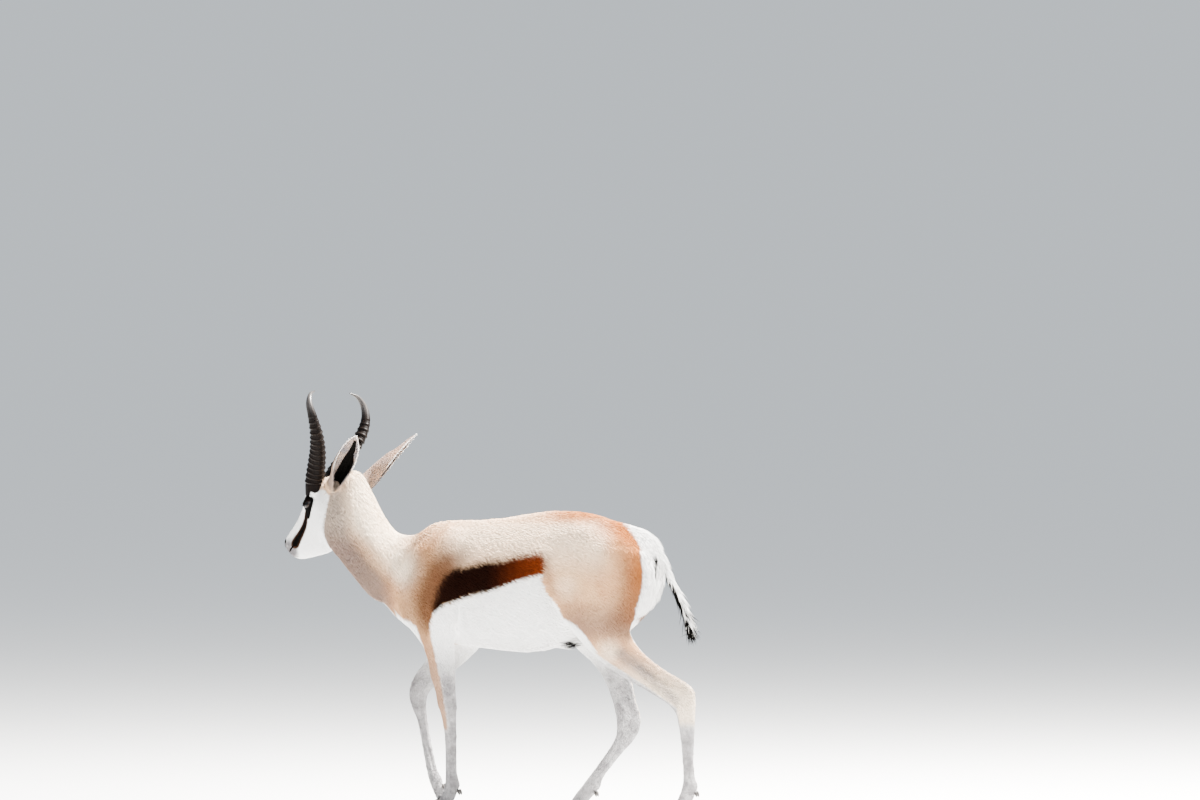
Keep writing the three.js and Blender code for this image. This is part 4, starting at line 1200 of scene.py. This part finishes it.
def bladePoints(part, rng):
    # each tuft is a thin three-sided blade: two rows and a tip, laid along the coat
    outward, lie = unit(part["outward"]), part["lie"]
    lie = unit(lie - np.sum(lie * outward, axis=1)[:, None] * outward)
    sideways = np.cross(outward, lie)
    lie = unit(lie + sideways * rng.normal(0, part["stray"])[:, None])
    sideways = np.cross(outward, lie)
    length, width, lift = (
        part[name] * rng.uniform(*vary, part.size) for name, vary in tuftSizes["vary"].items()
    )
    curl = rng.normal(0, tuftSizes["curl"], part.size)
    # kept inside the box of the solids
    reach = lie + (part["lift"] * np.abs(1 - part["bend"]))[:, None] * outward
    low, high = (np.array(corner) - part["at"] for corner in cadBox)
    room = np.min(np.where(reach > 0, high, low) / np.where(reach == 0, 1e-9, reach), axis=1)
    longest = room * tuftSizes["roomUsed"] - tuftSizes["roomLeft"]
    length = np.minimum(length, np.clip(longest, tuftSizes["least"], None))

    def row(t, across, ridge):
        rise = length * lift * (t - part["bend"] * t * t) + ridge * width
        drift = across * width + curl * length * t * t
        return part["at"] + (length * t)[:, None] * lie + rise[:, None] * outward + drift[:, None] * sideways

    rows = [
        row(t, across * wide, ridge)
        for t, wide in zip(tuftSizes["rows"], tuftSizes["widths"])
        for across, ridge in zip(tuftSizes["across"], tuftSizes["ridge"])
    ] + [row(1.0, 0.0, 0.0)]
    return np.stack(rows, axis=1)


def makeTufts(name, roots, rng):
    faces, points = tuftSizes["faces"], len(tuftSizes["tip"])
    loops, sizes = np.concatenate(faces), np.array([len(f) for f in faces])
    for number, start in enumerate(range(0, roots.size, tuftSizes["most"]), 1):
        part = roots.pick(slice(start, start + tuftSizes["most"]))
        n = part.size
        mesh = bpy.data.meshes.new(f"coat_{name}")
        mesh.vertices.add(n * points)
        mesh.vertices.foreach_set("co", bladePoints(part, rng).astype(np.float32).ravel())
        mesh.loops.add(n * len(loops))
        corner = (np.arange(n)[:, None] * points + loops).astype(np.int32).ravel()
        mesh.loops.foreach_set("vertex_index", corner)
        mesh.polygons.add(n * len(faces))
        starts = np.arange(n)[:, None] * len(loops) + np.concatenate([[0], np.cumsum(sizes)[:-1]])
        mesh.polygons.foreach_set("loop_start", starts.astype(np.int32).ravel())
        mesh.update(calc_edges=True)
        mesh.shade_smooth()
        patch = part["uv"][:, None] + np.array(tuftSizes["spread"])[None] * tuftSizes["patch"]
        layer = mesh.uv_layers.new(name="OFBake")
        layer.data.foreach_set("uv", patch.reshape(-1, 2)[corner].astype(np.float32).ravel())
        storeMarks(mesh, {key: np.repeat(part[key], points) for key in plainMarks})
        storeMarks(mesh, {"tip": np.tile(tuftSizes["tip"], n), "shade": np.repeat(rng.random(n), points)})
        mesh.materials.append(coat)
        piece = bpy.data.objects.new(f"coat_{name}_{number}", mesh)
        bpy.context.scene.collection.objects.link(piece)
        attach(piece, "root")
    print(f"coat {name}:", roots.size, "tufts")


coatSizes = {
    # per square metre, then metres; lift is the slope at the root
    "head": {"density": 340000, "length": 0.0062, "width": 0.0010, "lift": 0.10, "stray": 0.12},
    "neck": {"density": 86000, "length": 0.0160, "width": 0.0019, "lift": 0.19, "stray": 0.13},
    "torso": {"density": 82000, "length": 0.0160, "width": 0.0019, "lift": 0.17, "stray": 0.12},
    "leg": {"density": 108000, "length": 0.0115, "width": 0.0015, "lift": 0.13, "stray": 0.10},
    "tail": {"density": 150000, "length": 0.0150, "width": 0.0015, "lift": 0.16, "stray": 0.12},
    "ear": {"density": 200000, "length": 0.0080, "width": 0.0010, "lift": 0.12, "stray": 0.12},
    "seed": 20, "bend": 0.55,
    # the skin stays bare this near the nostrils, the nose, the lids and the lips
    "bareNostril": 0.0045, "bareNose": 0.001, "bareLids": 0.0022, "bareLips": 0.0018, "bareEdge": 0.002,
}
# How the tufts change in some places, as a share of what they are elsewhere on the region
coatChanges = {
    "lowLeg": {"length": -0.42, "width": -0.25},
    "fan": {"length": 0.9, "lift": 0.8},
    "switch": {"density": 2.4, "length": 0.9, "width": 0.4, "lift": -0.35},
    "sheath": {"length": 1.6, "lift": 1.8},
    "nose": {"length": -0.45, "width": -0.25},
}


def coatFields(points, weights):
    here, onFace = toBody(points), toHead(points)
    onTail, onSkull = (weights[:, regions.index(name)] for name in ("tail", "head"))
    fields = {
        key: byKind(weights, {kind: coatSizes[kind][key] for kind in skinSizes["depth"]})
        for key in ("density", "length", "width", "lift", "stray")
    }
    fields["bend"] = np.full(len(points), coatSizes["bend"])
    # the lower legs, the white fan of the rump, the tail's end, the sheath and the nose
    _, along = strokeDistance(here, tailLine)
    fan = softStep(skinMarks["white"], -0.004, 0.012) * softStep(here[:, 0], 0.20, 0.26) * (here[:, 2] > 0.5)
    spots = {
        "lowLeg": softStep(here[:, 2], 0.42, 0.20) * (1 - onTail), "fan": fan,
        "switch": softStep(along, 0.34, 0.62) * softStep(onTail, 0.3, 0.6),
        "sheath": softStep(np.linalg.norm(here - (0.088, 0, 0.446), axis=1), 0.034, 0.018),
        "nose": softStep(onFace[:, 0], 0.11, 0.02) * onSkull,
    }
    for spot, share in spots.items():
        for key, change in coatChanges[spot].items():
            fields[key] *= 1 + change * share
    aside = mirrored(onFace)
    view = aside[:, [0, 2]]
    gap = -areaDistance(view - (eye["back"], eye["up"]), eyeOpening())
    fromBare = np.min([
        strokeDistance(aside, face["nostril"])[0] - coatSizes["bareNostril"],
        -nosePad(aside) - coatSizes["bareNose"],
        np.where(aside[:, 1] > 0.028, gap, 1) - coatSizes["bareLids"],
        strokeDistance(view, face["mouth"])[0] - coatSizes["bareLips"],
    ], axis=0)
    fields["density"] *= np.where(onSkull > 0.1, softStep(fromBare, 0, coatSizes["bareEdge"]), 1)
    return fields


unwrap(skin)
print("skin unwrapped")
skinRng = np.random.default_rng(coatSizes["seed"])
skinPoints, skinOutward = places(skin.data), normals(skin.data)
fields = coatFields(skinPoints, skinWeights)
fields.update(skinMarks)
fields["outward"] = skinOutward
fields["lie"] = lieField(skin.data, skinPoints, skinOutward, skinWeights)
fields["region"] = skinWeights
roots = spreadRoots(skin, fields["density"], fields, skinRng)
regionOf = np.argmax(roots["region"], axis=1)
coatGroups = {
    "head": (["head", "ear_left", "ear_right"], "head_fur"), "neck": (["neck"], "body_fur"),
    "torso": (["torso"], "body_fur"), "legs": (list(legStations), "leg_fur"), "tail": (["tail"], "tail_fur"),
}
for name, (members, slot) in coatGroups.items():
    chosen = np.isin(regionOf, [regions.index(member) for member in members])
    makeTufts(name, roots.pick(chosen), skinRng)


# Horns
def makeHornMaterial():
    horn = Material("horn", Roughness=0.4, Specular_IOR_Level=0.045, Coat_Roughness=0.25)
    along, crest = horn.attribute("hornAlong"), horn.attribute("hornCrest")
    grain = horn.node("Attribute", {"attribute_name": "hornGrain"}, out=1)
    streaks = horn.noise(420, 4, 0.65, grain)
    patches = horn.noise(60, 3)
    color = horn.mix(horn.ramp(streaks, 0.35, 0.7), rgb(4, 2, 2), rgb(14, 8, 5))
    # painted highlight: paler crests on the rings
    color = horn.mix(horn.ramp(crest + (patches - 0.5) * 0.9, 0.45, 1.15) * 0.09, color, rgb(76, 66, 58))
    # painted sheen: greyer towards the smooth tip
    color = horn.mix(horn.ramp(along, 0.70, 0.86) * 0.65, color, rgb(70, 67, 66))
    color = horn.mix(horn.ramp(along, 0.92, 1.0) * 0.6, color, rgb(24, 22, 21))
    horn.feed(Base_Color=color, Roughness=0.50 - horn.ramp(along, 0.66, 0.85) * 0.24 + (streaks - 0.5) * 0.15)
    horn.feed(Coat_Weight=horn.ramp(along, 0.62, 0.85) * 0.30)
    horn.bump(streaks + horn.noise(900, 2) * 0.3, 0.0008, 0.5)
    return horn.made


hornMaterial = makeHornMaterial()


def makeHorn(label, side):
    # a tube with rings that fade out towards the smooth tip
    t = np.linspace(0, 1, hornSizes["steps"])
    line = hornLine(side, hornSizes["steps"])
    phase = np.mod(t * hornSizes["pitch"], 1)
    crestAt, crestWide = hornSizes["crest"]
    dipAt, dipWide, dip = hornSizes["dip"]
    crest = np.exp(-(((phase - crestAt) / crestWide) ** 2))
    for turn in (0, 1):
        crest -= dip * np.exp(-(((phase - (turn + dipAt)) / dipWide) ** 2))
    fade = np.clip((hornSizes["ringed"] - t) * 6, 0, 1) * softStep(t, 0.06, 0.12)
    ridge = crest * fade * hornSizes["ridge"]
    radii = [(hornRadius(u) + r, hornRadius(u) * hornSizes["oval"] + r) for u, r in zip(t, ridge)]
    bm = bmesh.new()
    for name in ("hornAlong", "hornCrest"):
        bm.verts.layers.float.new(name)
    bm.verts.layers.float_vector.new("hornGrain")
    along, height = (bm.verts.layers.float[name] for name in ("hornAlong", "hornCrest"))
    grain = bm.verts.layers.float_vector["hornGrain"]
    rings = addTube(bm, line, radii, hornSizes["sides"], headTurn[:, 0])
    for ring, u, high, point in zip(rings, t, crest * fade, line):
        for v in ring:
            v[along], v[height] = u, high
            v[grain] = v.co - Vector(point) + Vector((0, 0, u * 0.05))
    bmesh.ops.recalc_face_normals(bm, faces=bm.faces)
    made = asPiece(f"horn_{label}_fine", bm)
    made.data.materials.append(hornMaterial)
    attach(made, "root")
    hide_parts(f"horn_{label}")
    return made


horns = [makeHorn(label, side) for label, side in sides.items()]
print("horns:", sum(len(made.data.polygons) for made in horns), "faces")


# Ears: a leaf-shaped cup, a closed tube at its root and open to the side above it
earShape = {
    "length": 0.190, "root": 0.020, "bow": 0.010, "wall": 0.0016, "rows": 56, "across": 34, "middle": 0.09,
    # half width and depth in millimetres, and how far the wall wraps round in degrees, from root to tip
    "wide": [
        (0, 15), (0.14, 16.5), (0.28, 19), (0.42, 25), (0.55, 27.5), (0.7, 25.5), (0.84, 18.5), (0.94, 9.5),
        (1, 0.8),
    ],
    "deep": [
        (0, 17), (0.14, 21), (0.28, 24), (0.42, 25), (0.56, 22.5), (0.71, 14.5), (0.85, 9), (0.94, 5),
        (1, 0.6),
    ],
    "wrap": [(0, 165), (0.14, 155), (0.3, 122), (0.45, 105), (0.6, 94), (0.8, 86), (1, 80)],
    # how far the dark inside reaches towards the front rim
    "darkFront": {"left": 0.10, "right": 0.95},
}
milli = 0.001


def earWall(side, across, along):
    # places on the outer wall of an ear, across it from -1 to 1 and along it from 0 to 1
    def sized(name):
        line = curveThrough(earShape[name], 200)
        return np.interp(along, line[:, 0], line[:, 1])

    direction = earAlong(side)
    sideways = np.cross(direction, earAlong(side, "opening"))
    sideways /= np.linalg.norm(sideways)
    outwards = np.cross(sideways, direction)
    angle = np.radians(sized("wrap")) * across
    lift = -sized("deep") * milli * np.cos(angle) + earShape["bow"] * np.sin(np.pi * along**0.8)
    run = along * (earShape["length"] + earShape["root"]) - earShape["root"]
    return (
        earRoot(side) + run[:, None] * direction
        + (sized("wide") * milli * np.sin(angle))[:, None] * sideways + lift[:, None] * outwards
    )


def makeEar(label, side):
    bm = bmesh.new()
    rows, columns = earShape["rows"], earShape["across"]
    bmesh.ops.create_grid(bm, x_segments=columns, y_segments=rows, size=1)
    flat = np.array([v.co[:2] for v in bm.verts])
    across, along = (bm.verts.layers.float.new(name) for name in ("earAcross", "earAlong"))
    for v, place, (x, y) in zip(bm.verts, earWall(side, flat[:, 0], (flat[:, 1] + 1) / 2), flat):
        v.co = Vector(place)
        v[across], v[along] = x, (y + 1) / 2
    bmesh.ops.recalc_face_normals(bm, faces=bm.faces)
    axis = Vector(earRoot(side) + earAlong(side) * earShape["middle"])
    middle = min(bm.faces, key=lambda f: (f.calc_center_median() - axis).length)
    if middle.normal.dot(axis - middle.calc_center_median()) > 0:
        bmesh.ops.reverse_faces(bm, faces=bm.faces)
    made = asPiece(f"ear_{label}_fine", bm)
    outer = len(made.data.vertices)
    wall = made.modifiers.new("wall", "SOLIDIFY")
    wall.thickness, wall.offset = earShape["wall"], -1
    made = applied(made)
    storeMarks(made.data, {"earInner": np.arange(len(made.data.vertices)) >= outer})
    return made


def earMarks(label, side, across, along, inside):
    # dark inside with a white rim, under painted shade; outside a grey that is partly its own and partly
    # painted shade, paler at the root
    rim = np.abs(across)
    # from the front rim at -1 to the rear one at 1
    ahead = across * np.sign(np.cross(earAlong(side), earAlong(side, "opening")) @ headTurn[:, 0])
    rearEdge = 0.88 - 0.34 * softStep(along, 0.42, 0.70)
    dark = np.min([
        (ahead + earShape["darkFront"][label] - 0.25 * along) * 0.03, (rearEdge - ahead) * 0.03,
        (along - 0.10) * 0.1, (0.90 - along) * 0.1,
    ], axis=0)
    edging = softStep(rim, 0.96, 1.01) * softStep(along, 0.36, 0.50)
    white = np.where(inside, rim - 0.968, rim - 0.985) * 0.08 + 0.05 * (along > 0.985)
    return {
        **{name: np.full(len(rim), float(value)) for name, value in plainMarks.items()},
        "white": white - 0.006 * softStep(along, 0.50, 0.32), "black": np.where(inside, dark, -0.05),
        "pale": np.where(inside, 0.2, 0.3 * softStep(along, 0.3, 0.1)),
        # painted shade inside; outside, grey partly its own colour and partly painted shade
        "cool": np.where(inside, 0.92, 0.74 * softStep(along, 0.02, 0.16)) * (1 - edging),
    }


def earFields(across, along, inside):
    # inside sparse and long towards the rim, outside close, a little longer at the root
    size, rim, count = coatSizes["ear"], np.abs(across), len(across)
    near = np.where(inside, softStep(rim, 0.25, 0.8), 1)
    sparse = (0.45 + 0.8 * softStep(rim, 0.82, 0.97)) * (along > 0.10)
    density = np.where(inside, sparse, 1 + softStep(along, 0.2, 0))
    length = np.where(inside, 1 + 0.7 * near, 1 + softStep(along, 0.2, 0.02))
    lift = np.where(inside, 1.1 + 0.7 * near, 1 + 1.6 * softStep(along, 0.2, 0.02))
    return {
        "bend": np.full(count, 0.5), "stray": np.full(count, size["stray"]),
        "density": size["density"] * density, "length": size["length"] * length * (1.15 - 0.45 * along),
        "width": size["width"] * np.where(inside, 0.8, 1), "lift": size["lift"] * lift,
    }


def dressEar(made, label, side):
    mesh = made.data
    unwrap(made)
    names = ("earAcross", "earAlong", "earInner")
    across, along, inner = (np.array([v.value for v in mesh.attributes[name].data]) for name in names)
    inside = inner > 0.5
    values = earMarks(label, side, across, along, inside)
    storeSkinMarks(mesh, values)
    mesh.materials.append(coat)
    fields = {**values, **earFields(across, along, inside), "outward": normals(mesh)}
    fields["lie"] = np.tile(earAlong(side), (len(across), 1))
    makeTufts(f"ear_{label}", spreadRoots(made, fields["density"], fields, skinRng), skinRng)
    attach(made, "root")
    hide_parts(f"ear_{label}")


ears = {label: makeEar(label, side) for label, side in sides.items()}
for label, side in sides.items():
    dressEar(ears[label], label, side)


# Eyes: dark, wet, with a level bar of a pupil
def makeEye(label, side):
    bm = bmesh.new()
    radius = eye["radius"]
    wide, high = eye["pupil"]
    bmesh.ops.create_uvsphere(bm, u_segments=72, v_segments=48, radius=radius)
    turn = Matrix([headTurn[:, 0], headTurn[:, 2], side * headTurn[:, 1]]).transposed()
    centre = Vector(onHead(eye["back"], side * eye["side"], eye["up"]))
    pupil, iris = (bm.verts.layers.float.new(name) for name in ("pupil", "iris"))
    for v in bm.verts:
        x, y, z = v.co / radius
        v[pupil] = 1 - math.hypot(x / wide, y / high) if z > 0 else -1
        v[iris] = math.hypot(x, y) if z > 0 else 1
    bmesh.ops.transform(bm, matrix=Matrix.Translation(centre) @ turn.to_4x4(), verts=bm.verts)
    bmesh.ops.recalc_face_normals(bm, faces=bm.faces)
    made = asPiece(f"eye_{label}_fine", bm)
    made.data.materials.append(eyeMaterial)
    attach(made, "root")
    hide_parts(f"eye_{label}")


def makeEyeMaterial():
    ball = Material(
        "eye", Roughness=0.2, Specular_IOR_Level=0.05, Coat_Weight=0.5, Coat_Roughness=0.03, Coat_IOR=1.35
    )
    iris = ball.attribute("iris")
    fibres = ball.noise(900, 3)
    color = ball.mix(ball.ramp(iris + (fibres - 0.5) * 0.2, 0.30, 0.85), rgb(26, 14, 8), rgb(9, 6, 5))
    color = ball.mix(ball.ramp(iris, 0.90, 0.99), color, rgb(30, 24, 21))
    color = ball.mix(ball.ramp(ball.attribute("pupil"), -0.06, 0.10), color, rgb(3, 3, 4))
    ball.feed(Base_Color=color)
    return ball.made


eyeMaterial = makeEyeMaterial()
for label, side in sides.items():
    makeEye(label, side)

# Lashes, rooted along the upper lid
lashes = {
    "count": 70, "seed": 3, "between": (6, -4), "stray": 0.0003, "above": 0.0008, "sunk": 0.0006,
    "tufts": {
        "length": 0.0085, "width": 0.00045, "lift": 0.05, "stray": 0.1, "bend": -1.5,
        **plainMarks, "black": 0.02,
    },
}


def makeLashes(label, side):
    rng = np.random.default_rng(lashes["seed"])
    count = lashes["count"]
    upper = bezier(face["front"], (0, face["bow"]), face["rear"], 60)[slice(*lashes["between"])]
    picks = upper[rng.integers(0, len(upper), count)] + rng.normal(0, lashes["stray"], (count, 2))
    picks += (0, lashes["above"])
    lid = eye["radius"] + face["rim"]
    out = np.sqrt(np.maximum(lid**2 - np.sum(picks**2, axis=1), 0.005**2)) - lashes["sunk"]
    local = np.column_stack([picks[:, 0], side * out, picks[:, 1]])
    aim = np.column_stack([picks[:, 0] * 22, np.full(count, side * 1.0), rng.uniform(-0.45, 0.0, count)])
    aim, outward = aim @ headTurn.T, unit(local) @ headTurn.T
    values = {name: np.full(count, float(value)) for name, value in lashes["tufts"].items()}
    values["at"] = (local + (eye["back"], side * eye["side"], eye["up"])) @ headTurn.T + noseTip
    values["outward"] = -unit(np.cross(np.cross(aim, outward), aim))
    values["lie"] = unit(aim)
    values["uv"] = rng.uniform(0.01, 0.02, (count, 2))
    makeTufts(f"lashes_{label}", Roots(values), rng)


for label, side in sides.items():
    makeLashes(label, side)

# Hooves: two claws and two dew claws to a foot
hoof = {
    "length": 0.056, "width": 0.015, "toe": 0.033, "heel": 0.019, "cleft": 0.0016, "sides": 40, "rows": 14,
    "outerShare": 0.62, "lean": 0.42, "taper": 0.5, "bevel": 0.035, "growth": 0.012, "growths": 34,
    "dew": (0.007, 0.010, 0.017), "dewOut": 0.0095, "dewTilt": -18, "dewPoint": 0.45, "rise": 0.0175,
}
feet = {
    "fore_left": {"at": (-0.224, -0.058), "tip": 0, "dew": (-0.170, 0.066)},
    "fore_right": {"at": (-0.245, 0.060), "tip": 44, "dew": (-0.243, 0.074)},
    "hind_left": {"at": (0.404, -0.062), "tip": 0, "dew": (0.457, 0.068)},
    "hind_right": {"at": (0.091, 0.066), "tip": 0, "dew": (0.158, 0.060)},
}


def addClaw(bm, outer, foot):
    # one claw: a rounded block that narrows forwards, with growth lines; a lifted foot's is cut at the ground
    part = bmesh.new()
    bmesh.ops.create_cone(part, cap_ends=True, segments=hoof["sides"], radius1=1, radius2=1, depth=1)
    upright = [e for e in part.edges if abs(e.verts[0].co.z - e.verts[1].co.z) > 0.5]
    bmesh.ops.subdivide_edges(part, edges=upright, cuts=hoof["rows"])
    rims = [e for e in part.edges if all(abs(abs(v.co.z) - 0.5) < 1e-4 for v in e.verts)]
    bmesh.ops.bevel(
        part, geom=rims, offset=hoof["bevel"], segments=2, profile=0.5, affect="EDGES", material=-1
    )
    for v in part.verts:
        t, ahead, aside = v.co.z + 0.5, v.co.y, v.co.x * outer
        length = hoof["length"] * (0.5 - 0.13 * t)
        taper = 1 - hoof["taper"] * max(ahead, 0) ** 1.5
        inner = 1 - hoof["outerShare"]
        wide = hoof["width"] * (hoof["outerShare"] if aside > 0 else inner) * taper * (1 - 0.1 * t)
        lines = math.sin(t * hoof["growths"] + ahead * 1.5) * softStep(np.array(t), 0.05, 0.3)
        ring = 1 + hoof["growth"] * lines
        height = hoof["heel"] + (hoof["toe"] - hoof["heel"]) * (ahead + 1) / 2
        x = -ahead * length * ring + t * hoof["toe"] * hoof["lean"]
        y = outer * (hoof["cleft"] / 2 + hoof["width"] * inner + aside * wide * (ring if aside > 0 else 1))
        v.co = (x, y, t * height)
    if foot["tip"]:
        turn = Matrix.Rotation(math.radians(-foot["tip"]), 4, "Y")
        bmesh.ops.transform(part, matrix=Matrix.Translation((0, 0, hoof["rise"])) @ turn, verts=part.verts)
        cutOff(part, (0, 0, 0), (0, 0, -1))
    bmesh.ops.recalc_face_normals(part, faces=part.faces)
    bmesh.ops.translate(part, verts=part.verts, vec=Vector(onBody(*foot["at"], 0)))
    take(bm, part)


def makeFoot(name, foot):
    bm = bmesh.new()
    for outer in (1, -1):
        addClaw(bm, outer, foot)
        part = bmesh.new()
        bmesh.ops.create_uvsphere(part, u_segments=20, v_segments=14, radius=0.5)
        for v in part.verts:
            v.co.xy *= 1 - hoof["dewPoint"] * max(-v.co.z * 2, 0) ** 2
        place = onBody(foot["dew"][0], foot["at"][1] + outer * hoof["dewOut"], foot["dew"][1])
        turn = Matrix.Rotation(math.radians(hoof["dewTilt"]), 4, "Y") @ Matrix.Diagonal((*hoof["dew"], 1))
        bmesh.ops.transform(part, matrix=Matrix.Translation(Vector(place)) @ turn, verts=part.verts)
        take(bm, part)
    made = asPiece(f"hooves_{name}", bm)
    made.data.materials.append(hoofMaterial)
    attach(made, "root")
    claws = [f"{kind}_{name}_{side}" for kind in ("hoof", "dewclaw") for side in ("inner", "outer")]
    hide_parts(*claws)


def makeHoofMaterial():
    claw = Material("hoof", Roughness=0.42, Specular_IOR_Level=0.5)
    at = claw.place()
    growth = claw.noise(1.0, 3, 0.6, claw.node("Mapping", Vector=at, Scale=(90, 90, 900)))
    scuffs = claw.noise(160, 4, 0.7)
    color = claw.mix(claw.ramp(growth, 0.35, 0.7), rgb(24, 21, 20), rgb(52, 46, 42))
    color = claw.mix(claw.ramp(scuffs, 0.55, 0.8) * 0.5, color, rgb(112, 102, 92))
    claw.feed(Base_Color=color, Roughness=0.36 + scuffs * 0.25)
    claw.bump(growth + scuffs * 0.4, 0.0007, 0.5)
    return claw.made


hoofMaterial = makeHoofMaterial()
for name, foot in feet.items():
    makeFoot(name, foot)
print("eyes and hooves made")

# Camera, floor and light
stage = {
    "azimuth": 15, "elevation": 1.8, "lens": 900, "sensor": 36, "pixel": 0.00255, "width": 1200,
    "aim": (0.1785, 1.0659), "clip": 1000, "floor": 300, "sky": (0.86, 0.93, 1.0, 1), "skyStrength": 1.0,
    "litAt": (0, 0, 0.5),
}
lamps = {
    "key": {"at": (2.2, 1.0, 4.6), "size": 1.0, "power": 5000, "color": (1.0, 0.97, 0.92)},
    "fill": {"at": (-0.7, -2.6, 2.3), "size": 2.2, "power": 60, "color": (0.97, 0.98, 1.0)},
}


def setStage():
    azimuth, elevation = math.radians(stage["azimuth"]), math.radians(stage["elevation"])
    right = Vector((math.cos(azimuth), math.sin(azimuth), 0))
    level, high = math.cos(elevation), math.sin(elevation)
    back = Vector((math.sin(azimuth) * level, -math.cos(azimuth) * level, high))
    aim = Vector(bodyOrigin) + right * stage["aim"][0] + Vector((0, 0, stage["aim"][1]))
    data = bpy.data.cameras.new("camera")
    data.lens, data.sensor_width = stage["lens"], stage["sensor"]
    camera = bpy.data.objects.new("camera", data)
    distance = stage["lens"] * stage["pixel"] * stage["width"] / stage["sensor"]
    camera.location = aim + back * distance
    camera.rotation_euler = back.to_track_quat("Z", "Y").to_euler()
    data.clip_end = stage["clip"]
    bpy.context.scene.collection.objects.link(camera)
    bpy.context.scene.camera = camera

    bm = bmesh.new()
    bmesh.ops.create_grid(bm, x_segments=1, y_segments=1, size=stage["floor"])
    asPiece("floor", bm, smooth=False)

    world = bpy.data.worlds.new("studio")
    bpy.context.scene.world = world
    world.use_nodes = True
    sky = world.node_tree.nodes["Background"]
    sky.inputs["Color"].default_value = stage["sky"]
    sky.inputs["Strength"].default_value = stage["skyStrength"]
    for name, lamp in lamps.items():
        light = bpy.data.lights.new(name, "AREA")
        light.shape, light.size = "DISK", lamp["size"]
        light.energy, light.color = lamp["power"], lamp["color"]
        made = bpy.data.objects.new(name, light)
        made.location = lamp["at"]
        made.rotation_euler = (Vector(lamp["at"]) - Vector(stage["litAt"])).to_track_quat("Z", "Y").to_euler()
        bpy.context.scene.collection.objects.link(made)


setStage()

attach(skin, "root")
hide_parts(*flesh, "tail")
